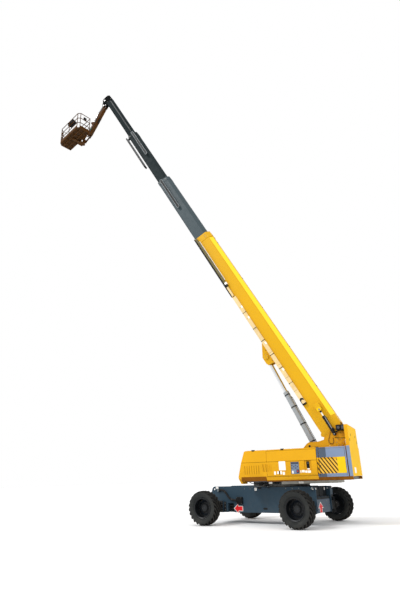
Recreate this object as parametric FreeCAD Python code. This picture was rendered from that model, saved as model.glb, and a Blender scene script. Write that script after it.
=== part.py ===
import FreeCAD, Part
import os
from math import sin, cos, tan, radians, degrees, hypot, atan2, pi

# Telescopic boom lift, extended and raised, with jib and work platform.
# Units: millimetres. Construction frames:
#   chassis frame : X forward, Y left, Z up, origin on the ground midway between the four wheels
#   turret frame  : the same, turned about the slewing axis, origin on the ground below that axis
#   boom frame    : X along the boom from its pivot, Y left, Z towards the boom's back
#   jib frame     : X along the jib from its pivot
#   platform frame: X from the rotator's axis to the middle of the platform, Y along the platform
# At the end the whole model is shifted so that the origin is the bottom centre of its box.

# ---------------------------------------------------------------- driving dimensions
AXLE_F, AXLE_R = 1900.0, -1825.0     # axles, along the chassis
TRACK = 3285.0             # between tyre centres, axles extended
TYRE_D = 1155.0
TYRE_W = 445.0
RIM_R = 355.0
KINGPIN_Y = 1235.0
STEER_FRONT = 6.0         # front wheels as parked, degrees about +Z

CH_X0, CH_X1 = -2060.0, 2250.0   # chassis box, rear and front end
CH_HALF = 620.0
CH_Z0, CH_Z1 = 375.0, 1215.0
CH_ZF = 1270.0                   # top of the cheeks, ahead of the turret's reach
EYES = {"front": (CH_X1 - 130, 1168.0), "rear": (CH_X0 + 95, CH_Z1 - 95)}
LIFT_EYE_R = 35.0

SLEW_X = -756.0            # slewing axis, behind the middle of the wheelbase
SLEW_YAW = 12.6            # turret turned to the left
RING_R = 660.0
DECK_Z0, DECK_Z1 = 1400.0, 1500.0
TAIL_A = -2473.0
HOOD_A0 = -2330.0
HOOD_B0, HOOD_B1 = 620.0, 1217.0
HOOD_Z0, HOOD_Z1 = 1508.0, 2445.0
CREASE_Z = 2060.0
NOSE_TOP, NOSE_CREASE, NOSE_BOT = 1225.0, 1343.0, 1464.0
DOOR_T = 45.0

PIV_A, PIV_Z = -2090.0, 2620.0   # boom pivot in the turret frame
ELEV = 62.14               # boom elevation, degrees
BASE_TIP = 10900.0
FLY1_TIP = 15350.0
FLY2_TIP = 19700.0
NOSE_S = 23950.0
FLY_LEN = 10250.0
BASE_W, FLY1_W, FLY2_W, FLY3_W = 320.0, 282.0, 246.0, 212.0     # half widths
BASE_Z = (-410.0, 220.0, 390.0)    # underside, start of the upper bevel, back
FLY1_Z = (-378.0, 145.0, 290.0)
FLY2_Z = (-348.0, 70.0, 195.0)
FLY3_Z = (-320.0, 0.0, 105.0)

LIFT_PIN = (-1400.0, 1900.0)       # lift cylinder's lower pin, turret frame
LIFT_EYE = (4200.0, -600.0)        # lug on the boom's underside, boom frame
MAST_PIN = (-1950.0, 2890.0)
MAST_EYE = (1270.0, 40.0)
MAST_B = 590.0

HEAD_S, HEAD_Z = 23740.0, -330.0   # pin of the levelled head, boom frame
JIB_OFF = (110.0, -290.0)           # jib pin from the head pin, level frame
JIB_ANG = -59.3
JIB_LEN = 2150.0
JIB_EYE = (1250.0, 275.0)          # jib cylinder's rod eye, jib frame
JIB_CYL = (0.0, 330.0)          # its lower pin from the jib pin, level frame
ROT_OFF = (360.0, -440.0)          # rotator axis and floor level from the jib's end pin
PLAT_YAW = 70.5                    # platform turned to the left
PLAT_X0, PLAT_X1 = 260.0, 1060.0
PLAT_HALF = 1060.0
RAIL_H = 1090.0

V = FreeCAD.Vector
PL = FreeCAD.Placement
ROT = FreeCAD.Rotation


# ---------------------------------------------------------------- small helpers
def box(x0, x1, y0, y1, z0, z1):
    return Part.makeBox(x1 - x0, y1 - y0, z1 - z0, V(x0, y0, z0))


def cyl(p, d, r, h):
    return Part.makeCylinder(r, h, V(*p), V(*d))


def ycyl(x, z, y0, y1, r):
    return cyl((x, y0, z), (0, 1, 0), r, y1 - y0)


def zcyl(x, y, z0, z1, r):
    return cyl((x, y, z0), (0, 0, 1), r, z1 - z0)


def prism_xz(pts, y0, y1):
    """Outline in X and Z, drawn out from y0 to y1."""
    vs = [V(x, y0, z) for x, z in pts]
    return Part.Face(Part.makePolygon(vs + [vs[0]])).extrude(V(0, y1 - y0, 0))


def prism_yz(pts, x0, x1):
    """Outline in Y and Z, drawn out from x0 to x1."""
    vs = [V(x0, y, z) for y, z in pts]
    return Part.Face(Part.makePolygon(vs + [vs[0]])).extrude(V(x1 - x0, 0, 0))


def prism_xy(pts, z0, z1):
    vs = [V(x, y, z0) for x, y in pts]
    return Part.Face(Part.makePolygon(vs + [vs[0]])).extrude(V(0, 0, z1 - z0))


def rod(p, q, r):
    p, q = V(*p), V(*q)
    return Part.makeCylinder(r, (q - p).Length, p, q - p)


def fuse(first, *others):
    out = first
    for o in others:
        out = out.fuse(o)
    return out.removeSplitter()


def tube_path(pts, r):
    """Hose along straight runs joined by tangent arcs."""
    P = [V(*p) for p in pts]
    edges = []
    start = P[0]
    for i in range(1, len(P) - 1):
        a, b, c = P[i - 1], P[i], P[i + 1]
        u = (a - b).normalize()
        w = (c - b).normalize()
        half = u.getAngle(w) / 2.0
        run = 0.45 * min((a - b).Length, (c - b).Length)
        t0 = b + u * run
        t1 = b + w * run
        bis = (u + w).normalize()
        rad = run * tan(half)
        mid = b + bis * (run / cos(half) - rad)
        edges.append(Part.LineSegment(start, t0).toShape())
        edges.append(Part.Arc(t0, mid, t1).toShape())
        start = t1
    edges.append(Part.LineSegment(start, P[-1]).toShape())
    wire = Part.Wire(edges)
    d = P[1] - P[0]
    circle = Part.Wire([Part.Circle(P[0], d, r).toShape()])
    return wire.makePipeShell([circle], True, True)


def mirror_y(shape):
    return shape.mirror(V(0, 0, 0), V(0, 1, 0))


# ---------------------------------------------------------------- frames at rest
CHASSIS = PL(V(0, 0, 0), ROT())
TURRET = PL(V(SLEW_X, 0, 0), ROT(V(0, 0, 1), SLEW_YAW))
BOOM = TURRET.multiply(PL(V(PIV_A, 0, PIV_Z), ROT(V(0, 1, 0), -ELEV)))


def boom_to_turret(s, z):
    e = radians(ELEV)
    return (PIV_A + s * cos(e) - z * sin(e), PIV_Z + s * sin(e) + z * cos(e))


HEAD_AZ = boom_to_turret(HEAD_S, HEAD_Z)
HEAD = TURRET.multiply(PL(V(HEAD_AZ[0], 0, HEAD_AZ[1]), ROT()))
JIB_AZ = (HEAD_AZ[0] + JIB_OFF[0], HEAD_AZ[1] + JIB_OFF[1])
JIB = TURRET.multiply(PL(V(JIB_AZ[0], 0, JIB_AZ[1]), ROT(V(0, 1, 0), -JIB_ANG)))
END_AZ = (JIB_AZ[0] + JIB_LEN * cos(radians(JIB_ANG)), JIB_AZ[1] + JIB_LEN * sin(radians(JIB_ANG)))
SUPPORT = TURRET.multiply(PL(V(END_AZ[0], 0, END_AZ[1]), ROT()))
ROT_AZ = (END_AZ[0] + ROT_OFF[0], END_AZ[1] + ROT_OFF[1])
PLATFORM = TURRET.multiply(PL(V(ROT_AZ[0], 0, ROT_AZ[1]), ROT(V(0, 0, 1), PLAT_YAW)))

LIFT_EYE_AZ = boom_to_turret(*LIFT_EYE)
MAST_EYE_AZ = boom_to_turret(*MAST_EYE)
JE = radians(JIB_ANG)
JIB_EYE_AZ = (JIB_AZ[0] + JIB_EYE[0] * cos(JE) - JIB_EYE[1] * sin(JE),
              JIB_AZ[1] + JIB_EYE[0] * sin(JE) + JIB_EYE[1] * cos(JE))
JIB_CYL_AZ = (JIB_AZ[0] + JIB_CYL[0], JIB_AZ[1] + JIB_CYL[1])


def strut_frame(low, high, b):
    """Frame at a cylinder's lower pin with X towards its upper pin."""
    ang = degrees(atan2(high[1] - low[1], high[0] - low[0]))
    return TURRET.multiply(PL(V(low[0], b, low[1]), ROT(V(0, 1, 0), -ang)))


LIFT = strut_frame(LIFT_PIN, LIFT_EYE_AZ, 0)
LIFT_L = hypot(LIFT_EYE_AZ[0] - LIFT_PIN[0], LIFT_EYE_AZ[1] - LIFT_PIN[1])
MAST = strut_frame(MAST_PIN, MAST_EYE_AZ, MAST_B)
MAST_L = hypot(MAST_EYE_AZ[0] - MAST_PIN[0], MAST_EYE_AZ[1] - MAST_PIN[1])
JCYL = strut_frame(JIB_CYL_AZ, JIB_EYE_AZ, 0)
JCYL_L = hypot(JIB_EYE_AZ[0] - JIB_CYL_AZ[0], JIB_EYE_AZ[1] - JIB_CYL_AZ[1])

parts = {}


def add(name, shape, frame):
    s = shape.copy()
    s.Placement = frame.multiply(s.Placement)
    parts[name] = s


# ---------------------------------------------------------------- chassis
R = TYRE_D / 2.0
HY = TRACK / 2.0

# welded box with two cheek plates whose upper corners are rounded and carry the lifting eyes
body = box(CH_X0 + 60, CH_X1 - 60, -CH_HALF + 30, CH_HALF - 30, CH_Z0 + 5, CH_Z1)
for sgn in (1, -1):
    y0 = CH_HALF - 30 if sgn > 0 else -CH_HALF
    cheek = prism_xz([(CH_X0, CH_Z0 + 90), (CH_X0 + 90, CH_Z0), (CH_X1 - 60, CH_Z0), (CH_X1, CH_Z0 + 60),
                      (CH_X1, CH_ZF - 160), (CH_X1 - 30, CH_ZF - 75), (CH_X1 - 75, CH_ZF - 22), (CH_X1 - 130, CH_ZF), (640, CH_ZF), (560, CH_Z1),
                      (CH_X0 + 120, CH_Z1), (CH_X0 + 35, CH_Z1 - 35), (CH_X0, CH_Z1 - 120)], y0, y0 + 30)
    body = body.fuse(cheek)
# ends are open between the cheeks, so the eyes have air behind them
for x0, x1 in ((CH_X1 - 210, CH_X1 + 10), (CH_X0 - 10, CH_X0 + 180)):
    body = body.cut(box(x0, x1, -CH_HALF + 30, CH_HALF - 30, CH_Z1 - 330, CH_Z1 + 10))
for x, z in EYES.values():
    body = body.cut(ycyl(x, z, -CH_HALF - 10, CH_HALF + 10, LIFT_EYE_R))
# slots for the axle boxes
for x in (AXLE_F, AXLE_R):
    body = body.cut(box(x - 160, x + 160, -CH_HALF - 10, CH_HALF + 10, R - 180, R + 180))
# open recess low in the left cheek
body = body.cut(box(1250, 1520, CH_HALF - 130, CH_HALF + 10, 375 - 10, 690))
body = body.fuse(box(1250, 1520, CH_HALF - 150, CH_HALF - 130, 380, 690))
add("chassis_frame", body.removeSplitter(), CHASSIS)


def axle(x):
    out = box(x - 160, x + 160, -CH_HALF - 60, CH_HALF + 60, R - 180, R + 180)
    for s in (1, -1):
        y = lambda v: (v if s > 0 else -v)
        lo, hi = sorted((y(CH_HALF + 60), y(1110)))
        out = out.fuse(box(x - 120, x + 120, lo, hi, R - 140, R + 140))
        lo, hi = sorted((y(1060), y(1110)))
        out = out.fuse(box(x - 120, x + 120, lo, hi, R - 255, R + 255))
        lo, hi = sorted((y(1110), y(1235)))
        for z0, z1 in ((R - 255, R - 195), (R + 195, R + 255)):
            out = out.fuse(box(x - 95, x + 95, lo, hi, z0, z1))
            out = out.fuse(zcyl(x, y(1235), z0, z1, 95))
    return out.removeSplitter()


add("front_axle", axle(AXLE_F), CHASSIS)
add("rear_axle", axle(AXLE_R), CHASSIS)
add("slew_ring", zcyl(SLEW_X, 0, CH_Z1, 1330, RING_R).cut(zcyl(SLEW_X, 0, CH_Z1 - 1, 1331, RING_R - 130)), CHASSIS)
# valve box on the left cheek, and the sleeved hose bundle that runs along the cheek from the front corner to it
HOSE_R = 36.0
HOSE_PTS = [(1840, 664, 1140), (1740, 664, 1143), (1640, 665, 1112), (1560, 666, 1042), (1497, 666, 955), (1430, 666, 872),
            (1345, 665, 818), (1240, 664, 795), (1135, 663, 792)]


def ferrule(p, q, r, length):
    """Sleeve that grips a hose end at p; the hose runs from p to q."""
    d = (V(*q) - V(*p)).normalize()
    return Part.makeCylinder(r, length, V(*p) - d * length, d)


def route_radii(pts):
    out = []
    for a, b, c in zip(pts, pts[1:], pts[2:]):
        u, w = (V(*a) - V(*b)), (V(*c) - V(*b))
        out.append(0.45 * min(u.Length, w.Length) * tan(u.getAngle(w) / 2.0))
    return [round(v) for v in out]


vb = box(845, 1090, CH_HALF, CH_HALF + 75, 665, 895)
vb = vb.fuse(ferrule(HOSE_PTS[-1], HOSE_PTS[-2], HOSE_R + 4, 45))
add("chassis_hose", tube_path(HOSE_PTS, HOSE_R), CHASSIS)
fit = ferrule(HOSE_PTS[0], HOSE_PTS[1], HOSE_R + 4, 40).fuse(box(1868, 1940, CH_HALF, CH_HALF + 78, 1085, 1190))
add("valve_box", Part.Compound([vb.removeSplitter(), fit.removeSplitter()]), CHASSIS)

WHEELS = {"front_left": (AXLE_F, 1), "front_right": (AXLE_F, -1), "rear_left": (AXLE_R, 1), "rear_right": (AXLE_R, -1)}
KNUCKLE_FRAME = {}
for name, (x, s) in WHEELS.items():
    yaw = STEER_FRONT if x > 0 else 0.0
    # frame at the kingpin, +Y outwards on the left and mirrored on the right
    fr = PL(V(x, s * KINGPIN_Y, R), ROT(V(0, 0, 1), yaw))
    KNUCKLE_FRAME[name] = fr
    out = HY - KINGPIN_Y          # kingpin to tyre centre
    k = zcyl(0, 0, -190, 190, 88)
    k = k.fuse(ycyl(0, 0, 0, 190, 150))
    k = k.fuse(ycyl(0, 0, 190, out - 126, 118))
    k = k.fuse(box(-235, -60, -18, 22, -60, -20))         # steering arm
    if s < 0:
        k = mirror_y(k)
    add("knuckle_" + name, k.removeSplitter(), fr)
    # rim: one revolved section, deep dish with its disc inboard, hub with planetary cap
    rw = 190.0
    sec = [(0, -126), (0, 12), (125, 0), (140, -40), (150, -62), (262, -92), (306, -92), (309, rw - 16), (354, rw),
           (354, rw - 12), (326, rw - 26), (318, 60), (318, -60), (326, -rw + 26), (354, -rw + 12), (354, -rw),
           (309, -rw + 16), (306, -112), (262, -112), (150, -96), (150, -126)]
    pts = [V(r, y + out, 0) for r, y in sec]
    face = Part.Face(Part.makePolygon(pts + [pts[0]]))
    rim = face.revolve(V(0, 0, 0), V(0, 1, 0), 360)
    hw = TYRE_W / 2.0
    prof = [(RIM_R, -rw + 12), (RIM_R, rw - 12), (RIM_R, rw), (372, rw + 6), (430, hw), (505, hw), (552, hw - 28), (R - 2, hw - 62),
            (R, hw - 90), (R, -hw + 90), (R - 2, -hw + 62), (552, -hw + 28), (505, -hw), (430, -hw), (372, -rw - 6), (RIM_R, -rw)]
    pts = [V(r, y + out, 0) for r, y in prof]
    tyre = Part.Face(Part.makePolygon(pts + [pts[0]])).revolve(V(0, 0, 0), V(0, 1, 0), 360)
    if s < 0:
        rim, tyre = mirror_y(rim), mirror_y(tyre)
    add("rim_" + name, rim, fr)
    add("tyre_" + name, tyre, fr)

# ---------------------------------------------------------------- turret
deck = box(TAIL_A + 113, 1330, -1180, 1180, DECK_Z0, DECK_Z1)
deck = deck.cut(prism_xy([(1331, 1181), (1000, 1181), (1331, 850)], 1390, 1510))
deck = deck.cut(prism_xy([(1331, -1181), (1331, -850), (1000, -1181)], 1390, 1510))
deck = deck.fuse(zcyl(0, 0, 1335, DECK_Z0, RING_R - 40))
# skirt that hangs round the slewing ring, and the swivel's valve trough ahead of it
deck = deck.fuse(zcyl(0, 0, 1232, DECK_Z0, 760).cut(zcyl(0, 0, 1231, DECK_Z0 + 1, 692)))
deck = deck.fuse(box(745, 1150, -520, 520, 1245, DECK_Z0))
deck = deck.cut(zcyl(0, 0, 1330, DECK_Z1 + 10, 250))
add("turntable_deck", deck.removeSplitter(), TURRET)

TOWER_OUT = [(-2360, 1500), (-620, 1500), (-620, 2400), (-783, 2487), (-929, 2634), (-1012, 2673), (-1347, 2679), (-1539, 2729),
             (-1568, 2819), (-1690, 2900), (-1755, 3010), (-2000, 3215), (-2360, 3195)]
tower = None
for y0, y1 in ((420, 470), (-470, -420)):
    p = prism_xz(TOWER_OUT, y0, y1)
    tower = p if tower is None else tower.fuse(p)
# floor of the tower, its front cross plate, and the bosses that hold the boom pin and the lift cylinder
tower = tower.fuse(box(-2360, -1700, -420, 420, 1500, 1560))
tower = tower.fuse(box(-2360, -2330, -420, 420, 1560, 2250))
for s in (1, -1):
    lo, hi = sorted((s * 330, s * 420))
    tower = tower.fuse(ycyl(PIV_A, PIV_Z, lo, hi, 150))
    lo, hi = sorted((s * 135, s * 420))
    tower = tower.fuse(ycyl(LIFT_PIN[0], LIFT_PIN[1], lo, hi, 110))
# arm on the left that carries the levelling cylinder's lower pin
arm = prism_xz([(-2360, 2760), (-1930, 2790), (-1870, 2850), (-1880, 2930), (-1950, 2960), (-2060, 2930), (-2360, 2900)], 470, 500)
tower = tower.fuse(arm).fuse(ycyl(MAST_PIN[0], MAST_PIN[1], 490, 530, 60))
add("tower", tower.removeSplitter(), TURRET)

# counterweight: full-width rear wall with a thick foot between the hoods
cw = prism_yz([(-1217, 1510), (1217, 1510), (1217, 2460), (1110, 2495), (1110, 3080), (1060, 3150), (-1060, 3150),
               (-1110, 3080), (-1110, 2495), (-1217, 2460)], TAIL_A, TAIL_A + 113)
add("counterweight", cw, TURRET)

# side hoods: hollow covers open towards the doors
def hood():
    side = [(HOOD_A0, HOOD_Z0), (NOSE_BOT - 8, HOOD_Z0), (NOSE_BOT, 1584), (NOSE_CREASE, CREASE_Z - 10), (NOSE_TOP, HOOD_Z1 - 24), (NOSE_TOP - 60, HOOD_Z1),
            (HOOD_A0, HOOD_Z1)]
    env = prism_xz(side, HOOD_B0, HOOD_B1 + 20)
    cross = prism_yz([(HOOD_B0, 1300), (HOOD_B1, 1300), (HOOD_B1, CREASE_Z), (HOOD_B1 - 45, HOOD_Z1), (HOOD_B0, HOOD_Z1)],
                     HOOD_A0 - 10, NOSE_BOT + 10)
    env = env.common(cross)
    skirt = prism_xz([(430, HOOD_Z0 + 5), (440, 1365), (1400, 1345), (NOSE_BOT - 8, HOOD_Z0 + 5)], HOOD_B0, 1230)
    bevel = prism_yz([(HOOD_B0, 1340), (1120, 1340), (HOOD_B1, HOOD_Z0 + 10), (HOOD_B0, HOOD_Z0 + 10)], 400, NOSE_BOT + 10)
    # the skirt hangs outside the deck's edge
    skirt = skirt.common(bevel).cut(box(0, 1345, 0, 1195, 1300, HOOD_Z0))
    env = env.fuse(skirt)
    for a0, a1 in ((HOOD_A0 + 40, -1420), (-1360, 400)):
        env = env.cut(box(a0, a1, HOOD_B0 + 40, HOOD_B1 + 30, HOOD_Z0 + 42, HOOD_Z1 - 35))
    env = env.cut(box(450, NOSE_TOP - 60, HOOD_B0 + 40, HOOD_B1 - 90, HOOD_Z0 + 42, HOOD_Z1 - 45))
    return env.removeSplitter()


def door(a0, a1):
    return prism_yz([(HOOD_B1, HOOD_Z0 + 50), (HOOD_B1, CREASE_Z), (HOOD_B1 - 41, HOOD_Z1 - 43), (HOOD_B1 - 41 - DOOR_T, HOOD_Z1 - 43),
                     (HOOD_B1 - DOOR_T, CREASE_Z), (HOOD_B1 - DOOR_T, HOOD_Z0 + 50)], a0, a1)


DOOR_REAR = (HOOD_A0 + 48, -1435)
DOOR_FRONT = (-1345, 392)
h = hood()
dr = door(*DOOR_REAR)
df = door(*DOOR_FRONT)
# hand-hole of the ground controls in the front left door
panel = df.cut(box(-1150, -920, HOOD_B1 - 30, HOOD_B1 + 10, 1740, 2050)).cut(box(-740, -450, HOOD_B1 - 22, HOOD_B1 + 10, 1622, 2018))
add("hood_left", h, TURRET)
add("hood_right", mirror_y(h), TURRET)
add("door_left_rear", dr, TURRET)
add("door_left_front", panel, TURRET)
add("door_right_rear", mirror_y(dr), TURRET)
add("door_right_front", mirror_y(df), TURRET)
add("ground_control_panel", box(-733, -457, HOOD_B1 - 21, HOOD_B1 - 2, 1629, 2011), TURRET)
add("engine_block", box(-1150, 150, -1120, -700, 1560, 2250), TURRET)
add("work_lamp", box(-2355, -2030, 475, 760, 2990, 3190), TURRET)

# thin hose that hangs in a loop beside the tower plate, with a ferrule at each end
LOOP = [(-1786, 486, 2962), (-1768, 487, 2880), (-1738, 489, 2800), (-1708, 491, 2722), (-1701, 492, 2646), (-1745, 492, 2583),
        (-1813, 491, 2573), (-1866, 489, 2618), (-1875, 487, 2690), (-1862, 486, 2762)]
LOOP_R = 8.0
add("tower_hose", tube_path(LOOP, LOOP_R), TURRET)
hf = ferrule(LOOP[0], LOOP[1], 12, 30).fuse(box(-1830, -1765, 470, 499, 2986, 3006))
hf2 = ferrule(LOOP[-1], LOOP[-2], 12, 26).fuse(box(-1878, -1838, 470, 499, 2778, 2786))
tower_fit = [hf.removeSplitter(), hf2.removeSplitter()]
for f_ in tower_fit:
    f_.Placement = TURRET.multiply(f_.Placement)
parts["tower"] = parts["tower"].fuse(tower_fit[0]).fuse(tower_fit[1]).removeSplitter()


# ---------------------------------------------------------------- boom
def section(w, zs, top_w, s0, s1):
    z0, z1, z2 = zs
    return prism_yz([(-w + 25, z0), (w - 25, z0), (w, z0 + 25), (w, z1), (top_w, z2), (-top_w, z2), (-w, z1), (-w, z0 + 25)], s0, s1)


def hollow(w, zs, top_w, s0, s1, t):
    return section(w, zs, top_w, s0, s1).cut(
        section(w - t, (zs[0] + t, zs[1] - t * 0.3, zs[2] - t), top_w - t * 0.4, s0 - 10, s1 + 10))


base = hollow(BASE_W, BASE_Z, 165, 900, BASE_TIP, 12)
# reinforcing collar at the tip
base = base.fuse(hollow(BASE_W + 14, (BASE_Z[0] - 14, BASE_Z[1] + 5, BASE_Z[2] + 14), 172, BASE_TIP - 330, BASE_TIP, 26))
# heel: two side plates and a boss on the pivot
heel_out = [(-60, -190), (120, -240), (373, -450), (440, -400), (513, -474), (593, -440), (613, -402), (905, -410), (905, 390),
            (600, 390), (260, 180), (60, 195), (-120, 160), (-190, 0), (-140, -140)]
for y0, y1 in ((BASE_W - 45, BASE_W), (-BASE_W, -BASE_W + 45)):
    p = prism_xz(heel_out, y0, y1)
    base = base.fuse(p)
base = base.fuse(box(600, 905, -BASE_W + 45, BASE_W - 45, 366, 390).common(
    prism_yz([(-300, 300), (300, 300), (300, 391), (-300, 391)], 600, 905)))
base = base.cut(ycyl(0, 0, -400, 400, 70.3))
# lug of the lift cylinder: two cheeks under the boom
lug_out = [(3830, -405), (3860, -690), (3960, -740), (4250, -742), (4330, -700), (4850, -405)]
for y0, y1 in ((110, 150), (-150, -110)):
    base = base.fuse(prism_xz(lug_out, y0, y1))
for s in (1, -1):
    lo, hi = sorted((s * 150, s * 175))
    base = base.fuse(ycyl(LIFT_EYE[0], LIFT_EYE[1], lo, hi, 75))
add("boom_base", base.removeSplitter(), BOOM)
# pivot pin through the tower plates and the heel
add("boom_pin", ycyl(PIV_A, PIV_Z, -500, 500, 69.95), TURRET)
for nm in ("tower",):
    parts[nm] = parts[nm].cut(ycyl(PIV_A, PIV_Z, -510, 510, 69.95).transformGeometry(TURRET.toMatrix()))

# levelling cylinder's lug on the boom's left side: block behind the eye with two ears
ml = box(MAST_EYE[0] + 85, MAST_EYE[0] + 250, BASE_W, 650, MAST_EYE[1] - 90, MAST_EYE[1] + 90)
for y0, y1 in ((518, 530), (638, 650)):
    ml = ml.fuse(prism_xz([(MAST_EYE[0] - 60, MAST_EYE[1] - 40), (MAST_EYE[0] - 20, MAST_EYE[1] - 80), (MAST_EYE[0] + 90, MAST_EYE[1] - 90),
                           (MAST_EYE[0] + 90, MAST_EYE[1] + 90), (MAST_EYE[0] - 20, MAST_EYE[1] + 80), (MAST_EYE[0] - 60, MAST_EYE[1] + 40)], y0, y1))
add("levelling_lug", ml.removeSplitter(), BOOM)

# cable duct along the lower left side of the base section
duct = box(1750, 7150, BASE_W + 1, BASE_W + 95, -400, -235)
add("cable_duct", duct, BOOM)
# upper part of the duct: the tray in which the cable chain lies
chain = box(7200, BASE_TIP - 40, BASE_W + 16, BASE_W + 125, -420, -250)
add("cable_chain", chain, BOOM)

f1 = hollow(FLY1_W, FLY1_Z, 145, FLY1_TIP - FLY_LEN, FLY1_TIP, 10)
f1 = f1.fuse(hollow(FLY1_W + 10, (FLY1_Z[0] - 10, FLY1_Z[1] + 4, FLY1_Z[2] + 10), 150, FLY1_TIP - 220, FLY1_TIP, 20))
add("fly_section_1", f1.removeSplitter(), BOOM)
f2 = hollow(FLY2_W, FLY2_Z, 125, FLY2_TIP - FLY_LEN, FLY2_TIP, 9)
f2 = f2.fuse(hollow(FLY2_W + 9, (FLY2_Z[0] - 9, FLY2_Z[1] + 4, FLY2_Z[2] + 9), 130, FLY2_TIP - 200, FLY2_TIP, 18))
add("fly_section_2", f2.removeSplitter(), BOOM)
f3 = hollow(FLY3_W, FLY3_Z, 108, NOSE_S - FLY_LEN - 250, NOSE_S - 350, 8)
# nose: closed block of plates that drops to the head pin
nose = prism_xz([(NOSE_S - 560, -318), (NOSE_S - 560, 100), (NOSE_S - 130, 100), (NOSE_S, -20), (NOSE_S, -300), (NOSE_S - 90, -455),
                 (NOSE_S - 290, -455), (NOSE_S - 420, -318)], 168, 206)
f3 = f3.fuse(nose).fuse(mirror_y(nose))
f3 = f3.fuse(box(NOSE_S - 400, NOSE_S - 360, -170, 170, -300, 90))
f3 = f3.cut(ycyl(HEAD_S, HEAD_Z, -300, 300, 45))
add("fly_section_3", f3.removeSplitter(), BOOM)
add("head_pin", ycyl(HEAD_S, HEAD_Z, -225, 225, 44.95), BOOM)

# hose trays that the outer sections carry: each hangs on its section's tip collar and runs back outside the next larger one
def tray(s0, s1, y0, y1, z0, z1, fy0, fz0, fz1):
    """Channel open towards the boom, with a foot at its front end that meets the collar's side."""
    t = box(s0, s1, y1 - 8, y1, z0, z1).fuse(box(s0, s1, y0, y1, z0, z0 + 8)).fuse(box(s0, s1, y0, y1, z1 - 8, z1))
    return t.fuse(box(s1 - 90, s1, fy0, y0 + 10, fz0, fz1)).removeSplitter()


add("fly_tray_1", tray(13060, FLY1_TIP - 20, 346, 402, -232, -92, FLY1_W + 10, -215, -110), BOOM)
low = box(16950, FLY2_TIP - 60, 60, 300, -532, -524).fuse(box(16950, FLY2_TIP - 60, 60, 68, -532, -440))
low = low.fuse(box(16950, FLY2_TIP - 60, 292, 300, -532, -440)).fuse(box(FLY2_TIP - 150, FLY2_TIP - 60, 100, 200, -532, FLY2_Z[0] - 9))
add("fly_tray_2", Part.Compound([tray(17480, FLY2_TIP - 20, 346, 402, -76, 62, FLY2_W + 9, -60, 40), low.removeSplitter()]), BOOM)

# ---------------------------------------------------------------- cylinders
def barrel(length, r, eye_r, eye_half, bore, gland=1.1):
    b = ycyl(0, 0, -eye_half, eye_half, eye_r)
    b = b.fuse(cyl((eye_r * 0.5, 0, 0), (1, 0, 0), r, length - eye_r * 0.5))
    b = b.fuse(cyl((length - 1.6 * r, 0, 0), (1, 0, 0), r * gland, 1.6 * r))
    return b.cut(cyl((eye_r * 1.05 + 20, 0, 0), (1, 0, 0), bore, length)).removeSplitter()


def piston(start, length, r, eye_r, eye_half):
    b = cyl((start, 0, 0), (1, 0, 0), r, length - start - eye_r * 0.5)
    return b.fuse(ycyl(length, 0, -eye_half, eye_half, eye_r)).removeSplitter()


LIFT_BARREL = 2950.0
bl = barrel(LIFT_BARREL, 107, 105, 130, 78.05, 1.04)
add("lift_cylinder", bl, LIFT)
add("lift_rod", piston(1500, LIFT_L, 78, 82, 100), LIFT)
add("levelling_cylinder", barrel(700, 58, 55, 45, 26.05), MAST)
add("levelling_rod", piston(420, MAST_L, 26, 46, 42), MAST)

# ---------------------------------------------------------------- head, jib, platform
# levelled head: two cheeks inside the nose, reaching down to the jib pin and up to the cylinder's pin
JC = (JIB_OFF[0] + JIB_CYL[0], JIB_OFF[1] + JIB_CYL[1])    # jib cylinder's lower pin, head frame
hd = None
for y0, y1 in ((125, 158), (-158, -125)):
    p = prism_xz([(-60, 60), (40, 95), (145, 95), (170, 20), (205, -260), (185, -350), (110, -375), (40, -345), (-70, -60)], y0, y1)
    hd = p if hd is None else hd.fuse(p)
hd = hd.fuse(box(-32, 22, -125, 125, -92, -56))
hd = hd.cut(ycyl(0, 0, -300, 300, 45.3))
hd = hd.cut(ycyl(JIB_OFF[0], JIB_OFF[1], -300, 300, 40))
hd = hd.cut(ycyl(JC[0], JC[1], -300, 300, 26))
add("jib_head", hd.removeSplitter(), HEAD)
# pins fixed in the head's cheeks: the jib's, and the one that the jib cylinder hangs on
add("jib_pins", Part.Compound([ycyl(JIB_OFF[0], JIB_OFF[1], -162, 162, 39.95), ycyl(JC[0], JC[1], -162, 162, 25.95)]), HEAD)

# the jib's root is two cheeks, open between them for the cylinder; the rest is a closed box, lower under the cylinder
jib = prism_xz([(760, -125), (JIB_LEN - 120, -125), (JIB_LEN - 120, 115), (1460, 115), (1360, 66), (760, 66)], -110, 110)
jib = jib.cut(prism_xz([(750, -116), (JIB_LEN - 110, -116), (JIB_LEN - 110, 106), (1462, 106), (1362, 57), (750, 57)], -101, 101))
root = [(-60, -70), (160, -125), (780, -125), (780, 115), (460, 115), (380, 70), (290, 30), (60, 70), (-60, 70)]
jib = jib.fuse(prism_xz(root, -100, -72)).fuse(prism_xz(root, 72, 100)).fuse(box(200, 770, -72, 72, -125, -113))
jib = jib.fuse(prism_xz([(JIB_LEN - 125, -125), (JIB_LEN + 70, -80), (JIB_LEN + 70, 80), (JIB_LEN - 125, 115)], -100, -70))
jib = jib.fuse(prism_xz([(JIB_LEN - 125, -125), (JIB_LEN + 70, -80), (JIB_LEN + 70, 80), (JIB_LEN - 125, 115)], 70, 100))
jib = jib.fuse(box(760, 772, -101, 101, -116, 57)).fuse(box(JIB_LEN - 132, JIB_LEN - 120, -101, 101, -116, 106))
for y0, y1 in ((62, 80), (-80, -62)):
    jib = jib.fuse(prism_xz([(JIB_EYE[0] - 90, 60), (JIB_EYE[0] - 45, 335), (JIB_EYE[0] + 45, 335), (JIB_EYE[0] + 180, 84), (JIB_EYE[0] + 110, 60)], y0, y1))
jib = jib.cut(ycyl(0, 0, -150, 150, 40.3)).cut(ycyl(JIB_LEN, 0, -150, 150, 35.3))
add("jib_arm", jib.removeSplitter(), JIB)
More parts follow.
